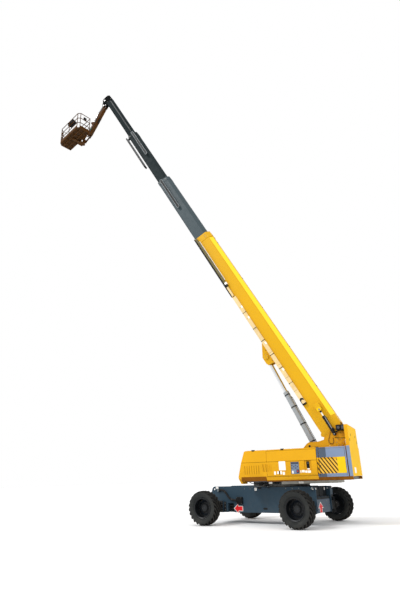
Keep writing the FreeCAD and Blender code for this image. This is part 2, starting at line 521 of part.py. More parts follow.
add("jib_cylinder", barrel(800, 46, 44, 50, 24.05).cut(ycyl(0, 0, -60, 60, 26.3)), JCYL)
add("jib_rod", piston(670, JCYL_L, 24, 40, 50), JCYL)

# platform support: fork on the jib's end pin and the rotator's housing
sup = prism_xz([(-65, -60), (60, -60), (300, -330), (300, -120), (60, 70), (-40, 65)], 106, 130)
sup = sup.fuse(mirror_y(sup)).fuse(box(270, 300, -130, 130, -330, -120))
sup = sup.fuse(zcyl(ROT_OFF[0], 0, -420, -60, 75)).fuse(box(295, 340, -60, 60, -330, -120))
sup = sup.cut(ycyl(0, 0, -300, 300, 34.95))
add("platform_support", sup.removeSplitter(), SUPPORT)
add("support_pin", ycyl(0, 0, -140, 140, 34.9), SUPPORT)

# platform: bracket under the rotator, floor, guard rails, gate, console
br = fuse(zcyl(0, 0, -62, 14, 85), box(0, PLAT_X0 + 500, -60, 60, -62, -8), box(0, PLAT_X0 + 60, -190, 190, -62, -40))
add("platform_bracket", br, PLATFORM)

X0, X1, YH = PLAT_X0, PLAT_X1, PLAT_HALF
CHAM = 150.0
outline = [(X0, -YH), (X1 - CHAM, -YH), (X1, -YH + CHAM), (X1, YH - CHAM), (X1 - CHAM, YH), (X0, YH)]
floor = prism_xy(outline, -8, 42)
# raised tread panel inside the posts and toe boards
FLOOR_Z = 44.0
floor = floor.fuse(prism_xy([(X0 + 60, -YH + 60), (X1 - CHAM - 30, -YH + 60), (X1 - 60, -YH + CHAM + 30), (X1 - 60, YH - CHAM - 30),
                             (X1 - CHAM - 30, YH - 60), (X0 + 60, YH - 60)], 42, FLOOR_Z)).removeSplitter()
add("platform_floor", floor, PLATFORM)

RT = 20.0   # rail tube radius


def rail(z, open_gate):
    """Guard rail at height z, open on the -Y end where the gate is."""
    pts = [(X0 + 25, -YH + 25), (X0 + 25, YH - 25), (X1 - CHAM, YH - 25), (X1 - 25, YH - CHAM), (X1 - 25, -YH + CHAM), (X1 - CHAM, -YH + 25)]
    out = None
    for p, q in zip(pts[:-1], pts[1:]):
        t = rod((p[0], p[1], z), (q[0], q[1], z), RT)
        out = t if out is None else out.fuse(t)
    for p in pts:
        out = out.fuse(Part.makeSphere(RT, V(p[0], p[1], z)))
    return out


rails = None
for z in (RAIL_H, 740, 400):
    r_ = rail(z, True)
    rails = r_ if rails is None else rails.fuse(r_)
posts = [(X0 + 25, -YH + 25), (X0 + 25, 0), (X0 + 25, YH - 25), (X1 - CHAM, YH - 25), (X1 - 25, YH - CHAM), (X1 - 25, 0), (X1 - 25, -YH + CHAM),
         (X1 - CHAM, -YH + 25)]
for x, y in posts:
    rails = rails.fuse(zcyl(x, y, 42, RAIL_H, RT))
# toe boards
toe = box(X0 + 8, X0 + 14, -YH + 8, YH - 8, 42, 190).fuse(box(X0 + 8, X1 - CHAM, YH - 14, YH - 8, 42, 190)).fuse(
    box(X1 - 14, X1 - 8, -YH + CHAM, YH - CHAM, 42, 190))
rails = rails.fuse(toe)
add("platform_rails", rails, PLATFORM)

# gate in the short end: frame of tubes with its toe board, hinged on the outer post
gx0, gx1, gy = X0 + 25 + RT + 22, X1 - CHAM - RT - 22, -YH + 25
gate = None
for z in (RAIL_H - 8, 740, 400):
    t = rod((gx0, gy, z), (gx1, gy, z), 16)
    gate = t if gate is None else gate.fuse(t)
for x in (gx0, gx1):
    gate = gate.fuse(zcyl(x, gy, 60, RAIL_H - 8, 16)).fuse(Part.makeSphere(16, V(x, gy, RAIL_H - 8)))
gate = gate.fuse(box(gx0, gx1, gy - 4, gy + 4, 60, 190))
add("platform_gate", gate, PLATFORM)

con = prism_xz([(X1 - 330, RAIL_H - 150), (X1 - 50, RAIL_H - 150), (X1 - 50, RAIL_H + 25), (X1 - 110, RAIL_H + 60), (X1 - 330, RAIL_H - 40)], -260, 260)
con = con.fuse(box(X1 - 60, X1 - 46, -40, 40, RAIL_H - 60, RAIL_H - 30))
add("platform_console", con, PLATFORM)

# ---------------------------------------------------------------- origin: bottom centre of the whole box
BB = FreeCAD.BoundBox()
for s in parts.values():
    BB.add(s.optimalBoundingBox(True, False))
SHIFT = V(-(BB.XMin + BB.XMax) / 2.0, -(BB.YMin + BB.YMax) / 2.0, -BB.ZMin)
for n in parts:
    parts[n].Placement = PL(SHIFT, ROT()).multiply(parts[n].Placement)


def write_parts():
    os.makedirs("parts", exist_ok=True)
    for n, s in parts.items():
        if s.ShapeType == "Compound" and len(s.Solids) == 1:
            s = s.Solids[0]
        s.exportStep(os.path.join("parts", n + ".step"))


print("hose radii", route_radii(HOSE_PTS), route_radii(LOOP))
print("box", [round(v, 1) for v in (BB.XLength, BB.YLength, BB.ZLength)], "shift", [round(v, 2) for v in SHIFT], "nodes", len(parts))
for n, s in parts.items():
    if not s.isValid() or s.Volume <= 0:
        print("BAD", n, s.isValid(), s.Volume)
write_parts()
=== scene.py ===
import math
import bpy
import bmesh
from mathutils import Matrix, Vector
from math import sin, cos, tan, radians, pi, atan2, hypot


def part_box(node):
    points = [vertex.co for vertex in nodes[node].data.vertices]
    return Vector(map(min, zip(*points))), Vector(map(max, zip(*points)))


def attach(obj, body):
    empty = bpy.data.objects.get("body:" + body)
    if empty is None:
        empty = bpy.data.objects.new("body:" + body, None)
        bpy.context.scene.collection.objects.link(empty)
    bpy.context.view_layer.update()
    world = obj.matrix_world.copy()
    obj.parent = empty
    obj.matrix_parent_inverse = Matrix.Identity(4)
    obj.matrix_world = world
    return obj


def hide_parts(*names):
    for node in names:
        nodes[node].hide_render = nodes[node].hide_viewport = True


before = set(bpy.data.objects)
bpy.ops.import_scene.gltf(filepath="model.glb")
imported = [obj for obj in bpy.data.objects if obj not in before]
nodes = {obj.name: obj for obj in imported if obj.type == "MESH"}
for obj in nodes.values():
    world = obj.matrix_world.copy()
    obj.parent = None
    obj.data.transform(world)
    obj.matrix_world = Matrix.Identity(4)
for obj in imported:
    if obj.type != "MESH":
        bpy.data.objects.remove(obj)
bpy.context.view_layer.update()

scene = bpy.context.scene
col = scene.collection
scene.view_settings.view_transform = "Standard"

# ------------------------------------------------------------------ frames
# metres. Chassis frame: origin on the ground between the wheels. Turret frame: turned about the slewing axis.
SLEW_X, YAW = -0.756, radians(12.6)
lo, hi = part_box("slew_ring")
ORG = Vector(((lo.x + hi.x) / 2 - SLEW_X, (lo.y + hi.y) / 2, 0.0))
M_CH = Matrix.Translation(ORG)
M_T = M_CH @ Matrix.Translation((SLEW_X, 0, 0)) @ Matrix.Rotation(YAW, 4, "Z")
PIV = Vector((-2.09, 0, 2.62))
ELEV = radians(62.14)
M_B = M_T @ Matrix.Translation(PIV) @ Matrix.Rotation(-ELEV, 4, "Y")


def boom_at(s, z):
    return (PIV.x + s * cos(ELEV) - z * sin(ELEV), PIV.z + s * sin(ELEV) + z * cos(ELEV))


HEAD = boom_at(23.740, -0.330)
JIB_OFF = (0.110, -0.290)
JIB_ANG = radians(-59.3)
JIB_LEN = 2.150
JIBP = (HEAD[0] + JIB_OFF[0], HEAD[1] + JIB_OFF[1])
ENDP = (JIBP[0] + JIB_LEN * cos(JIB_ANG), JIBP[1] + JIB_LEN * sin(JIB_ANG))
ROT = (ENDP[0] + 0.360, ENDP[1] - 0.440)
M_H = M_T @ Matrix.Translation((HEAD[0], 0, HEAD[1]))
M_J = M_T @ Matrix.Translation((JIBP[0], 0, JIBP[1])) @ Matrix.Rotation(-JIB_ANG, 4, "Y")
M_S = M_T @ Matrix.Translation((ENDP[0], 0, ENDP[1]))
M_P = M_T @ Matrix.Translation((ROT[0], 0, ROT[1])) @ Matrix.Rotation(radians(70.5), 4, "Z")


def strut(low, high, b):
    ang = atan2(high[1] - low[1], high[0] - low[0])
    return (M_T @ Matrix.Translation((low[0], b, low[1])) @ Matrix.Rotation(-ang, 4, "Y"),
            hypot(high[0] - low[0], high[1] - low[1]))


M_L, LIFT_L = strut((-1.4, 1.9), boom_at(4.2, -0.6), 0)
M_M, MAST_L = strut((-1.95, 2.89), boom_at(1.27, 0.04), 0.59)
JE = (JIBP[0] + 1.25 * cos(JIB_ANG) - 0.275 * sin(JIB_ANG), JIBP[1] + 1.25 * sin(JIB_ANG) + 0.275 * cos(JIB_ANG))
M_JC, JC_L = strut((JIBP[0], JIBP[1] + 0.33), JE, 0)

# ------------------------------------------------------------------ camera, as the object was seen: low, looking up
CAM = ORG + Vector((-9.041, 16.059, 1.5445))
h = Vector((0.6008, -0.7994, 0.0)).normalized()
PITCH, ROLL = 0.3766, 0.0286
fw = h * cos(PITCH) + Vector((0, 0, sin(PITCH)))
r0 = Vector((h.y, -h.x, 0.0)).normalized()
u0 = h * (-sin(PITCH)) + Vector((0, 0, cos(PITCH)))
right = r0 * cos(ROLL) - u0 * sin(ROLL)
up = r0 * sin(ROLL) + u0 * cos(ROLL)
cd = bpy.data.cameras.new("camera")
cam = bpy.data.objects.new("camera", cd)
col.objects.link(cam)
m3 = Matrix((right, up, -fw)).transposed()
cam.matrix_world = Matrix.Translation(CAM) @ m3.to_4x4()
cd.sensor_width = 36.0
cd.sensor_fit = "AUTO"
cd.lens = 453.2 / 600.0 * 36.0
cd.clip_start, cd.clip_end = 0.1, 500.0
scene.camera = cam


# ------------------------------------------------------------------ materials
def srgb(r, g, b):
    out = []
    for c in (r, g, b):
        c /= 255.0
        out.append(c / 12.92 if c <= 0.04045 else ((c + 0.055) / 1.055) ** 2.4)
    return tuple(out) + (1.0,)


def shade(c, k):
    return tuple(max(0.0, min(1.0, v * k)) for v in c[:3]) + (1.0,)


def material(name, rgb, rough=0.45, metal=0.0, spec=0.35, coat=0.0, tint=0.10, tint_scale=1.2, bump=0.12, bump_scale=90.0,
             dist=0.002, dirt_and_shade=None, dirt_and_shade_z=(0.0, 1.6), dirt_and_shade_amount=0.6, wear=None, braid=0.0, tread=0.0):
    """Paint, rubber or metal: broad and fine colour variation, a darker colour that thickens downwards (dirt on most
    parts, painted shade on the turret's yellow and the sill), wear on edges, uneven gloss, fine bump.
    """
    m = bpy.data.materials.new(name)
    m.use_nodes = True
    nt = m.node_tree
    N, L = nt.nodes, nt.links
    p = N["Principled BSDF"]
    p.inputs["Metallic"].default_value = metal
    p.inputs["Specular IOR Level"].default_value = spec
    p.inputs["Coat Weight"].default_value = coat
    p.inputs["Coat Roughness"].default_value = 0.12
    tc = N.new("ShaderNodeTexCoord")
    base = srgb(*rgb)

    def noise(scale, detail=4.0, rough_=0.55):
        n = N.new("ShaderNodeTexNoise")
        n.inputs["Scale"].default_value = scale
        n.inputs["Detail"].default_value = detail
        n.inputs["Roughness"].default_value = rough_
        L.new(tc.outputs["Object"], n.inputs["Vector"])
        return n

    def mapr(src, a, b, c, d):
        n = N.new("ShaderNodeMapRange")
        n.inputs["From Min"].default_value, n.inputs["From Max"].default_value = a, b
        n.inputs["To Min"].default_value, n.inputs["To Max"].default_value = c, d
        L.new(src, n.inputs["Value"])
        return n.outputs["Result"]

    def mix(fac, a, b):
        n = N.new("ShaderNodeMix")
        n.data_type = "RGBA"
        for sock, v in ((n.inputs[6], a), (n.inputs[7], b)):
            if isinstance(v, tuple):
                sock.default_value = v
            else:
                L.new(v, sock)
        L.new(fac, n.inputs[0])
        return n.outputs[2]

    broad = noise(tint_scale)
    fine = noise(tint_scale * 11.0, 6.0, 0.65)
    c = mix(mapr(broad.outputs["Fac"], 0.3, 0.7, 0.0, 1.0), shade(base, 1.0 - tint), shade(base, 1.0 + tint * 0.4))
    c = mix(mapr(fine.outputs["Fac"], 0.42, 0.75, 0.0, 0.35), c, shade(base, 1.0 - tint * 1.6))
    # darker colour towards the bottom in noisy patches: dirt on most materials, painted shade on the turret's yellow
    # and the sill
    if dirt_and_shade:
        sep = N.new("ShaderNodeSeparateXYZ")
        L.new(tc.outputs["Object"], sep.inputs[0])
        fall = mapr(sep.outputs["Z"], dirt_and_shade_z[0], dirt_and_shade_z[1], 1.0, 0.0)
        patch = mapr(noise(4.5, 7.0, 0.7).outputs["Fac"], 0.38, 0.68, 0.0, dirt_and_shade_amount)
        mul = N.new("ShaderNodeMath")
        mul.operation = "MULTIPLY"
        L.new(fall, mul.inputs[0])
        L.new(patch, mul.inputs[1])
        c = mix(mul.outputs[0], c, srgb(*dirt_and_shade))
    if wear:
        g = N.new("ShaderNodeNewGeometry")
        wm = N.new("ShaderNodeMath")
        wm.operation = "MULTIPLY"
        L.new(mapr(g.outputs["Pointiness"], 0.53, 0.60, 0.0, 0.8), wm.inputs[0])
        L.new(mapr(noise(14.0, 6.0, 0.7).outputs["Fac"], 0.45, 0.6, 0.0, 1.0), wm.inputs[1])
        c = mix(wm.outputs[0], c, srgb(*wear))
    L.new(c, p.inputs["Base Color"])
    L.new(mapr(fine.outputs["Fac"], 0.3, 0.7, max(0.03, rough - 0.09), min(1.0, rough + 0.09)), p.inputs["Roughness"])
    hgt = noise(bump_scale, 5.0, 0.6).outputs["Fac"]
    if braid:
        w = N.new("ShaderNodeTexWave")
        w.wave_type, w.bands_direction = "BANDS", "DIAGONAL"
        w.inputs["Scale"].default_value = braid
        w.inputs["Distortion"].default_value = 0.6
        L.new(tc.outputs["Object"], w.inputs["Vector"])
        hgt = w.outputs["Fac"]
    if tread:
        v = N.new("ShaderNodeTexVoronoi")
        v.inputs["Scale"].default_value = tread
        L.new(tc.outputs["Object"], v.inputs["Vector"])
        hgt = mapr(v.outputs["Distance"], 0.1, 0.35, 1.0, 0.0)
    b = N.new("ShaderNodeBump")
    b.inputs["Strength"].default_value = bump
    b.inputs["Distance"].default_value = dist
    L.new(hgt, b.inputs["Height"])
    L.new(b.outputs["Normal"], p.inputs["Normal"])
    return m


MUD = (120, 110, 96)
# the turret's yellow turns orange-brown towards the bottom of the hood: painted shade
Y_T = material("yellow_turret", (212, 155, 9), 0.42, spec=0.16, coat=0.04, tint=0.07, dirt_and_shade=(120, 74, 16), dirt_and_shade_z=(1.3, 2.0), dirt_and_shade_amount=0.35)
Y_B = material("yellow_boom", (212, 161, 11), 0.42, spec=0.16, coat=0.04, tint=0.06, tint_scale=0.5)
# pale yellow: the door's plain panel and the levelling lug's pad, and the painted highlight on the levelling arm's
# lower edge
Y_P = material("pale_yellow_and_painted_highlight", (226, 188, 10), 0.45, spec=0.15, tint=0.05)
# dark brown: the jib's and platform's yellow paint in painted shade
Y_J = material("yellow_platform_painted_shade", (78, 46, 8), 0.6, spec=0.06, tint=0.2, wear=(56, 44, 30))
# brown: the yellow paint in painted shade, on the sill, the skirt under the hood's front, the tops of the recesses and
# the jib's sides; darker still towards its bottom
BROWN = material("yellow_in_painted_shade", (126, 76, 8), 0.65, spec=0.1, tint=0.2, dirt_and_shade=(40, 26, 12), dirt_and_shade_z=(1.3, 1.6))
CH_G = material("chassis_slate", (42, 64, 79), 0.5, spec=0.22, tint=0.12, dirt_and_shade=(96, 92, 84), dirt_and_shade_z=(0.2, 1.2), dirt_and_shade_amount=0.18)
CH_L = material("chassis_plate", (70, 86, 102), 0.5, spec=0.25, tint=0.16, dirt_and_shade=(120, 116, 108), dirt_and_shade_z=(0.2, 1.0), dirt_and_shade_amount=0.3)
CH_D = material("chassis_dark", (20, 26, 31), 0.6, spec=0.2, tint=0.2, dirt_and_shade=MUD, dirt_and_shade_z=(0.2, 1.2), dirt_and_shade_amount=0.15)
STEEL_D = material("dark_steel_paint", (24, 26, 28), 0.58, spec=0.25, tint=0.2, dirt_and_shade=MUD, dirt_and_shade_z=(0.2, 1.5), dirt_and_shade_amount=0.15, wear=(84, 84, 82))
BEIGE = material("apron_beige_grey", (176, 174, 164), 0.6, spec=0.25, tint=0.14, dirt_and_shade=(96, 84, 66), dirt_and_shade_z=(1.2, 1.5))
RUB = material("tyre_rubber", (38, 38, 37), 0.86, spec=0.16, tint=0.25, tint_scale=3.0, bump=0.35, bump_scale=140.0, dirt_and_shade=(92, 88, 80), dirt_and_shade_z=(0.0, 1.3), dirt_and_shade_amount=0.3)
RUB_W = material("tyre_wall", (40, 42, 42), 0.82, spec=0.16, tint=0.22, tint_scale=3.0, bump=0.25, bump_scale=160.0, dirt_and_shade=(88, 86, 80), dirt_and_shade_z=(0.0, 1.4), dirt_and_shade_amount=0.3)
RIM = material("rim_black", (12, 15, 18), 0.4, spec=0.3, tint=0.25, tint_scale=4.0, dirt_and_shade=(70, 72, 74), dirt_and_shade_z=(0.0, 1.2), dirt_and_shade_amount=0.12, wear=(50, 58, 68))
RIM_H = material("rim_sheen", (24, 31, 40), 0.3, spec=0.4, tint=0.25, tint_scale=4.0, dirt_and_shade=(70, 72, 74), dirt_and_shade_z=(0.0, 1.0), dirt_and_shade_amount=0.12)
BLACK = material("black_paint", (12, 13, 14), 0.5, spec=0.25, tint=0.25)
BLACK_P = material("black_plastic", (14, 14, 16), 0.65, spec=0.22, tint=0.2, bump=0.3, bump_scale=220.0)
HOSE = material("hose_rubber", (24, 24, 25), 0.7, spec=0.3, tint=0.2, bump=0.5, braid=60.0, dist=0.003)
HOSE_B = material("hose_brown", (96, 62, 34), 0.6, spec=0.3, tint=0.2, bump=0.3, braid=90.0)
FLY = material("fly_slate", (58, 71, 76), 0.45, spec=0.22, tint=0.10, tint_scale=0.6)
FLY2 = material("fly_slate_2", (31, 40, 42), 0.6, spec=0.08, tint=0.10, tint_scale=0.6)
FLY3 = material("fly_slate_3", (26, 35, 37), 0.65, spec=0.05, tint=0.10, tint_scale=0.6)
PALE = material("pale_edge", (150, 160, 164), 0.5, spec=0.25, tint=0.12, tint_scale=5.0)
CREAM = material("duct_cream", (226, 200, 148), 0.6, spec=0.2, tint=0.12, dirt_and_shade=(170, 136, 80), dirt_and_shade_z=(3.0, 10.0), dirt_and_shade_amount=0.45)
WHITE = material("blank_plate", (240, 238, 232), 0.5, spec=0.3, tint=0.06, tint_scale=9.0)
OLIVE = material("chain_olive", (118, 108, 66), 0.6, spec=0.3, tint=0.2, tint_scale=8.0)
KHAKI = material("chain_khaki", (176, 150, 92), 0.6, spec=0.3, tint=0.2, tint_scale=8.0)
TAN = material("chain_brown", (112, 78, 44), 0.6, spec=0.3, tint=0.2, tint_scale=8.0)
FR_D = material("frame_grey_dark", (74, 86, 102), 0.5, spec=0.2, tint=0.10)
FR_L = material("frame_grey_light", (118, 134, 160), 0.5, spec=0.2, tint=0.08)
STRIPE = material("stripe_dark", (74, 54, 22), 0.6, spec=0.08, tint=0.14)
PANEL = material("panel_blue_grey", (114, 128, 148), 0.5, spec=0.25, tint=0.2, tint_scale=12.0)
PANEL_D = material("panel_dark", (52, 60, 78), 0.5, spec=0.3, tint=0.25, tint_scale=12.0)
RED = material("arrow_red", (222, 30, 38), 0.45, spec=0.3, tint=0.08, dirt_and_shade=(120, 50, 44), dirt_and_shade_z=(0.2, 0.8), dirt_and_shade_amount=0.25)
SPOT_R = material("spot_red", (150, 60, 44), 0.5, tint=0.2)
GREEN = material("box_dark_green", (40, 66, 44), 0.5, tint=0.2)
PIN = material("pin_steel", (150, 150, 150), 0.34, metal=1.0, tint=0.14, tint_scale=6.0, bump=0.1, bump_scale=160.0)
CHROME = material("chrome_rod", (214, 216, 218), 0.14, metal=1.0, tint=0.04, tint_scale=5.0, bump=0.03)
# cream-white: the levelling rod's chrome drawn as its painted highlight
ROD_W = material("rod_pale", (232, 228, 214), 0.3, spec=0.5, coat=0.3, tint=0.05, tint_scale=5.0)
CYL_G = material("cylinder_grey", (150, 156, 160), 0.36, spec=0.4, coat=0.2, tint=0.08)
IRON = material("engine_iron", (58, 60, 60), 0.7, spec=0.3, tint=0.2, tint_scale=5.0, bump=0.5, bump_scale=60.0, dist=0.004)
BOLT = material("bolt_zinc", (136, 134, 126), 0.42, metal=0.8, tint=0.2, tint_scale=20.0)
LENS = material("lens_blue", (12, 15, 36), 0.2, spec=0.6, coat=1.0, tint=0.3, tint_scale=14.0, bump=0.3, bump_scale=180.0)
GLASS_Y = material("lens_amber", (214, 120, 30), 0.15, spec=0.6, coat=1.0, tint=0.2, tint_scale=20.0)
DECK = material("deck_tread_plate", (70, 70, 68), 0.5, spec=0.4, tint=0.2, tint_scale=3.0, bump=0.6, dist=0.004, tread=26.0, wear=(140, 138, 132))
# pale yellow for the rear cover: painted light on the rear face
Y_C = material("yellow_rear_painted_light", (236, 186, 28), 0.7, spec=0.08, tint=0.05)
# near-black tread base between the lugs: painted shade in the grooves
RUB_D = material("tyre_groove", (12, 12, 12), 0.95, spec=0.08, tint=0.2, tint_scale=6.0)
GROUND = material("stripe_ground", (226, 176, 62), 0.6, spec=0.1, tint=0.06)
RIB = material("rib_shadow", (150, 102, 8), 0.7, spec=0.06, tint=0.12)
SHEEN = material("barrel_painted_highlight", (150, 154, 160), 0.4, spec=0.3, tint=0.1)
PAN = material("pan_brown", (58, 36, 12), 0.7, spec=0.05, tint=0.2)
HEAD_B = material("head_black", (5, 7, 8), 0.7, spec=0.03, tint=0.1)
Y_BEV = material("yellow_boom_bevel_painted_highlight", (248, 212, 52), 0.6, spec=0.08, tint=0.05)
SEAM = material("seam_shadow", (96, 62, 6), 0.8, spec=0.05, tint=0.15)
PAD = material("wear_pad", (196, 186, 150), 0.6, spec=0.3, tint=0.16, tint_scale=10.0)


def finish_node(mat, *names):
    for n in names:
        o = nodes[n]
        if len(o.material_slots) == 0:
            o.data.materials.append(mat)
        for s in o.material_slots:
            s.material = mat


finish_node(CH_G, "chassis_frame")
# axles and valve box in near-black; on the axles it is painted shade under the chassis
finish_node(CH_D, "front_axle", "rear_axle", "valve_box")
finish_node(STEEL_D, "slew_ring", "knuckle_front_left", "knuckle_front_right", "knuckle_rear_left", "knuckle_rear_right")
finish_node(DECK, "turntable_deck")
finish_node(Y_T, "counterweight", "tower", "hood_left", "hood_right", "door_left_rear", "door_left_front", "door_right_rear",
            "door_right_front")
finish_node(IRON, "engine_block")
finish_node(PANEL, "ground_control_panel")
finish_node(Y_B, "boom_base", "levelling_lug")
finish_node(Y_T, "boom_pin")
finish_node(PIN, "head_pin", "jib_pins", "support_pin")
finish_node(FLY, "fly_section_1")
finish_node(FLY2, "fly_section_2")
finish_node(FLY3, "fly_section_3")
finish_node(CYL_G, "lift_cylinder", "jib_cylinder")
finish_node(BLACK, "levelling_cylinder", "fly_tray_1", "fly_tray_2")
finish_node(HEAD_B, "jib_head")
finish_node(CHROME, "lift_rod", "jib_rod")
finish_node(ROD_W, "levelling_rod")
finish_node(BLACK_P, "work_lamp", "platform_console", "cable_chain")
finish_node(Y_J, "jib_arm", "platform_support", "platform_bracket", "platform_floor", "platform_rails", "platform_gate")
finish_node(CREAM, "cable_duct")
finish_node(HOSE, "chassis_hose", "tower_hose")
for w_ in ("front_left", "front_right", "rear_left", "rear_right"):
    finish_node(RUB, "tyre_" + w_)
    finish_node(RIM, "rim_" + w_)


# ------------------------------------------------------------------ mesh building
class Shape:
    """Faces gathered in one local frame, with a material for each."""

    def __init__(self, m):
        self.bm, self.m, self.k, self.mats = bmesh.new(), m, 0, []

    def use(self, mat):
        if mat not in self.mats:
            self.mats.append(mat)
        self.k = self.mats.index(mat)
        return self

    def face(self, vs):
        try:
            f = self.bm.faces.new(vs)
        except ValueError:
            return None
        f.material_index = self.k
        return f

    def prism(self, pts, t0, t1, axis="y"):
        def at(p, q, t):
            return {"x": (t, p, q), "y": (p, t, q), "z": (p, q, t)}[axis]
        a = [self.bm.verts.new(at(p, q, t0)) for p, q in pts]
        b = [self.bm.verts.new(at(p, q, t1)) for p, q in pts]
        n = len(pts)
        for i in range(n):
            self.face([a[i], a[(i + 1) % n], b[(i + 1) % n], b[i]])
        self.face(a[::-1])
        self.face(b)
        return self

    def box(self, x0, x1, y0, y1, z0, z1):
        return self.prism([(x0, z0), (x1, z0), (x1, z1), (x0, z1)], y0, y1)

    def sweep(self, pts, r, n=12, r1=None):
        """Round bar along points."""
        P = [Vector(p) for p in pts]
        rings = []
        t = (P[1] - P[0]).normalized()
        x = t.orthogonal().normalized()
        for i, p in enumerate(P):
            t2 = ((P[min(i + 1, len(P) - 1)] - P[max(i - 1, 0)])).normalized()
            x = (x - t2 * x.dot(t2)).normalized()
            y = t2.cross(x)
            rr = r if r1 is None else r + (r1 - r) * i / (len(P) - 1)
            rings.append([self.bm.verts.new(p + (x * cos(2 * pi * k / n) + y * sin(2 * pi * k / n)) * rr) for k in range(n)])
        for a, b in zip(rings, rings[1:]):
            for k in range(n):
                self.face([a[k], a[(k + 1) % n], b[(k + 1) % n], b[k]])
        self.face(rings[0][::-1])
        self.face(rings[-1])
        return self

    def cyl(self, p, q, r, n=20, r1=None):
        return self.sweep([p, q], r, n, r1)

    def pipe(self, pts, r, n=10, bend=0.45, steps=5):
        """Rigid pipe: straight runs with rounded corners."""
        P = [Vector(p) for p in pts]
        out = [P[0]]
        for a, b, c in zip(P, P[1:], P[2:]):
            k = bend * min((a - b).length, (c - b).length)
            s, e = b + (a - b).normalized() * k, b + (c - b).normalized() * k
            for i in range(steps + 1):
                t = i / steps
                out.append(s * (1 - t) ** 2 + b * 2 * t * (1 - t) + e * t * t)
        out.append(P[-1])
        return self.sweep(out, r, n)

    def lathe(self, prof, c, axis="y", n=48, close=False):
        """Profile of (radius, along) turned about an axis through c."""
        c = Vector(c)
        rings = []
        for r, t in prof:
            ring = []
            for k in range(n):
                a = 2 * pi * k / n
                v = {"y": (r * cos(a), t, r * sin(a)), "x": (t, r * cos(a), r * sin(a)), "z": (r * cos(a), r * sin(a), t)}[axis]
                ring.append(self.bm.verts.new(c + Vector(v)))
            rings.append(ring)
        pairs = list(zip(rings, rings[1:]))
        if close:
            pairs.append((rings[-1], rings[0]))
        for a, b in pairs:
            for k in range(n):
                self.face([a[k], a[(k + 1) % n], b[(k + 1) % n], b[k]])
        if not close:
            self.face(rings[0][::-1])
            self.face(rings[-1])
        return self

    def bolt(self, p, d, r=0.012, hgt=0.009):
        p, d = Vector(p), Vector(d).normalized()
        self.sweep([p - d * 0.003, p + d * 0.003], r * 1.45, 14)
        self.sweep([p, p + d * hgt], r, 6)
        return self

    def done(self, name, body, slot=None, bevel=0.0, seg=2, angle=32.0, replaces=()):
        bmesh.ops.recalc_face_normals(self.bm, faces=self.bm.faces)
        for f in self.bm.faces:
            f.smooth = True
        for e in self.bm.edges:
            if len(e.link_faces) == 2:
                e.smooth = e.calc_face_angle(0.0) < radians(angle)
            else:
                e.smooth = False
        me = bpy.data.meshes.new(name)
        self.bm.to_mesh(me)
        self.bm.free()
        me.transform(self.m)
        if self.m.determinant() < 0:
            me.flip_normals()
        for m in self.mats:
            me.materials.append(m)
        o = bpy.data.objects.new(name, me)
        col.objects.link(o)
        if bevel:
            b = o.modifiers.new("edge", "BEVEL")
            b.width = bevel
            b.segments = seg
            b.limit_method = "ANGLE"
            b.angle_limit = radians(angle)
            b.use_clamp_overlap = True
            b.harden_normals = True
        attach(o, body)
        if replaces:
            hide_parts(*replaces)
        return o


def arc(cx, cy, r, a0, a1, n):
    return [(cx + r * cos(radians(a0 + (a1 - a0) * i / n)), cy + r * sin(radians(a0 + (a1 - a0) * i / n))) for i in range(n + 1)]


def rrect(x0, x1, y0, y1, r, n=4):
    return (arc(x1 - r, y0 + r, r, -90, 0, n) + arc(x1 - r, y1 - r, r, 0, 90, n) + arc(x0 + r, y1 - r, r, 90, 180, n)
            + arc(x0 + r, y0 + r, r, 180, 270, n))


def clip(poly, x0, x1, y0, y1):
    """Polygon cut to a rectangle."""
    def side(pts, f, g):
        out = []
        for a, b in zip(pts, pts[1:] + pts[:1]):
            fa, fb = f(a), f(b)
            if fa >= 0:
                out.append(a)
            if fa * fb < 0:
                t = fa / (fa - fb)
                out.append((a[0] + (b[0] - a[0]) * t, a[1] + (b[1] - a[1]) * t))
        return out
    for f in (lambda p: p[0] - x0, lambda p: x1 - p[0], lambda p: p[1] - y0, lambda p: y1 - p[1]):
        if not poly:
            return poly
        poly = side(poly, f, None)
    return poly

# ------------------------------------------------------------------ the free hose beside the tower
LOOP = [(-1.786, 0.486, 2.962), (-1.768, 0.487, 2.880), (-1.738, 0.489, 2.800), (-1.708, 0.491, 2.722), (-1.701, 0.492, 2.646),
        (-1.745, 0.492, 2.583), (-1.813, 0.491, 2.573), (-1.866, 0.489, 2.618), (-1.875, 0.487, 2.690), (-1.862, 0.486, 2.762)]
cu = bpy.data.curves.new("tower_hose_line", "CURVE")
cu.dimensions = "3D"
sp = cu.splines.new("NURBS")
sp.points.add(len(LOOP) - 1)
for pt, p in zip(sp.points, LOOP):
    pt.co = (M_T @ Vector(p)).to_4d()
sp.order_u = 3
sp.use_endpoint_u = True
sp.resolution_u = 10
cu.bevel_depth = 0.008
cu.bevel_resolution = 4
cu.use_fill_caps = True
cu.materials.append(HOSE_B)
hose = bpy.data.objects.new("tower_hose_line", cu)
col.objects.link(hose)
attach(hose, "turntable")
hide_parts("tower_hose")

# ------------------------------------------------------------------ wheels
TYRE_R, KING_Y, HALF_TRACK, XF, XR = 0.5775, 1.235, 1.6425, 1.900, -1.825
OUT = HALF_TRACK - KING_Y
LUGS = 23


def wheel_frame(x, s, yaw):
    # mirrored on the right, so +Y is always outwards
    m = M_CH @ Matrix.Translation((x, s * KING_Y, TYRE_R)) @ Matrix.Rotation(radians(yaw), 4, "Z")
    if s < 0:
        m = m @ Matrix.Diagonal((1, -1, 1, 1))
    return m @ Matrix.Translation((0, OUT, 0))


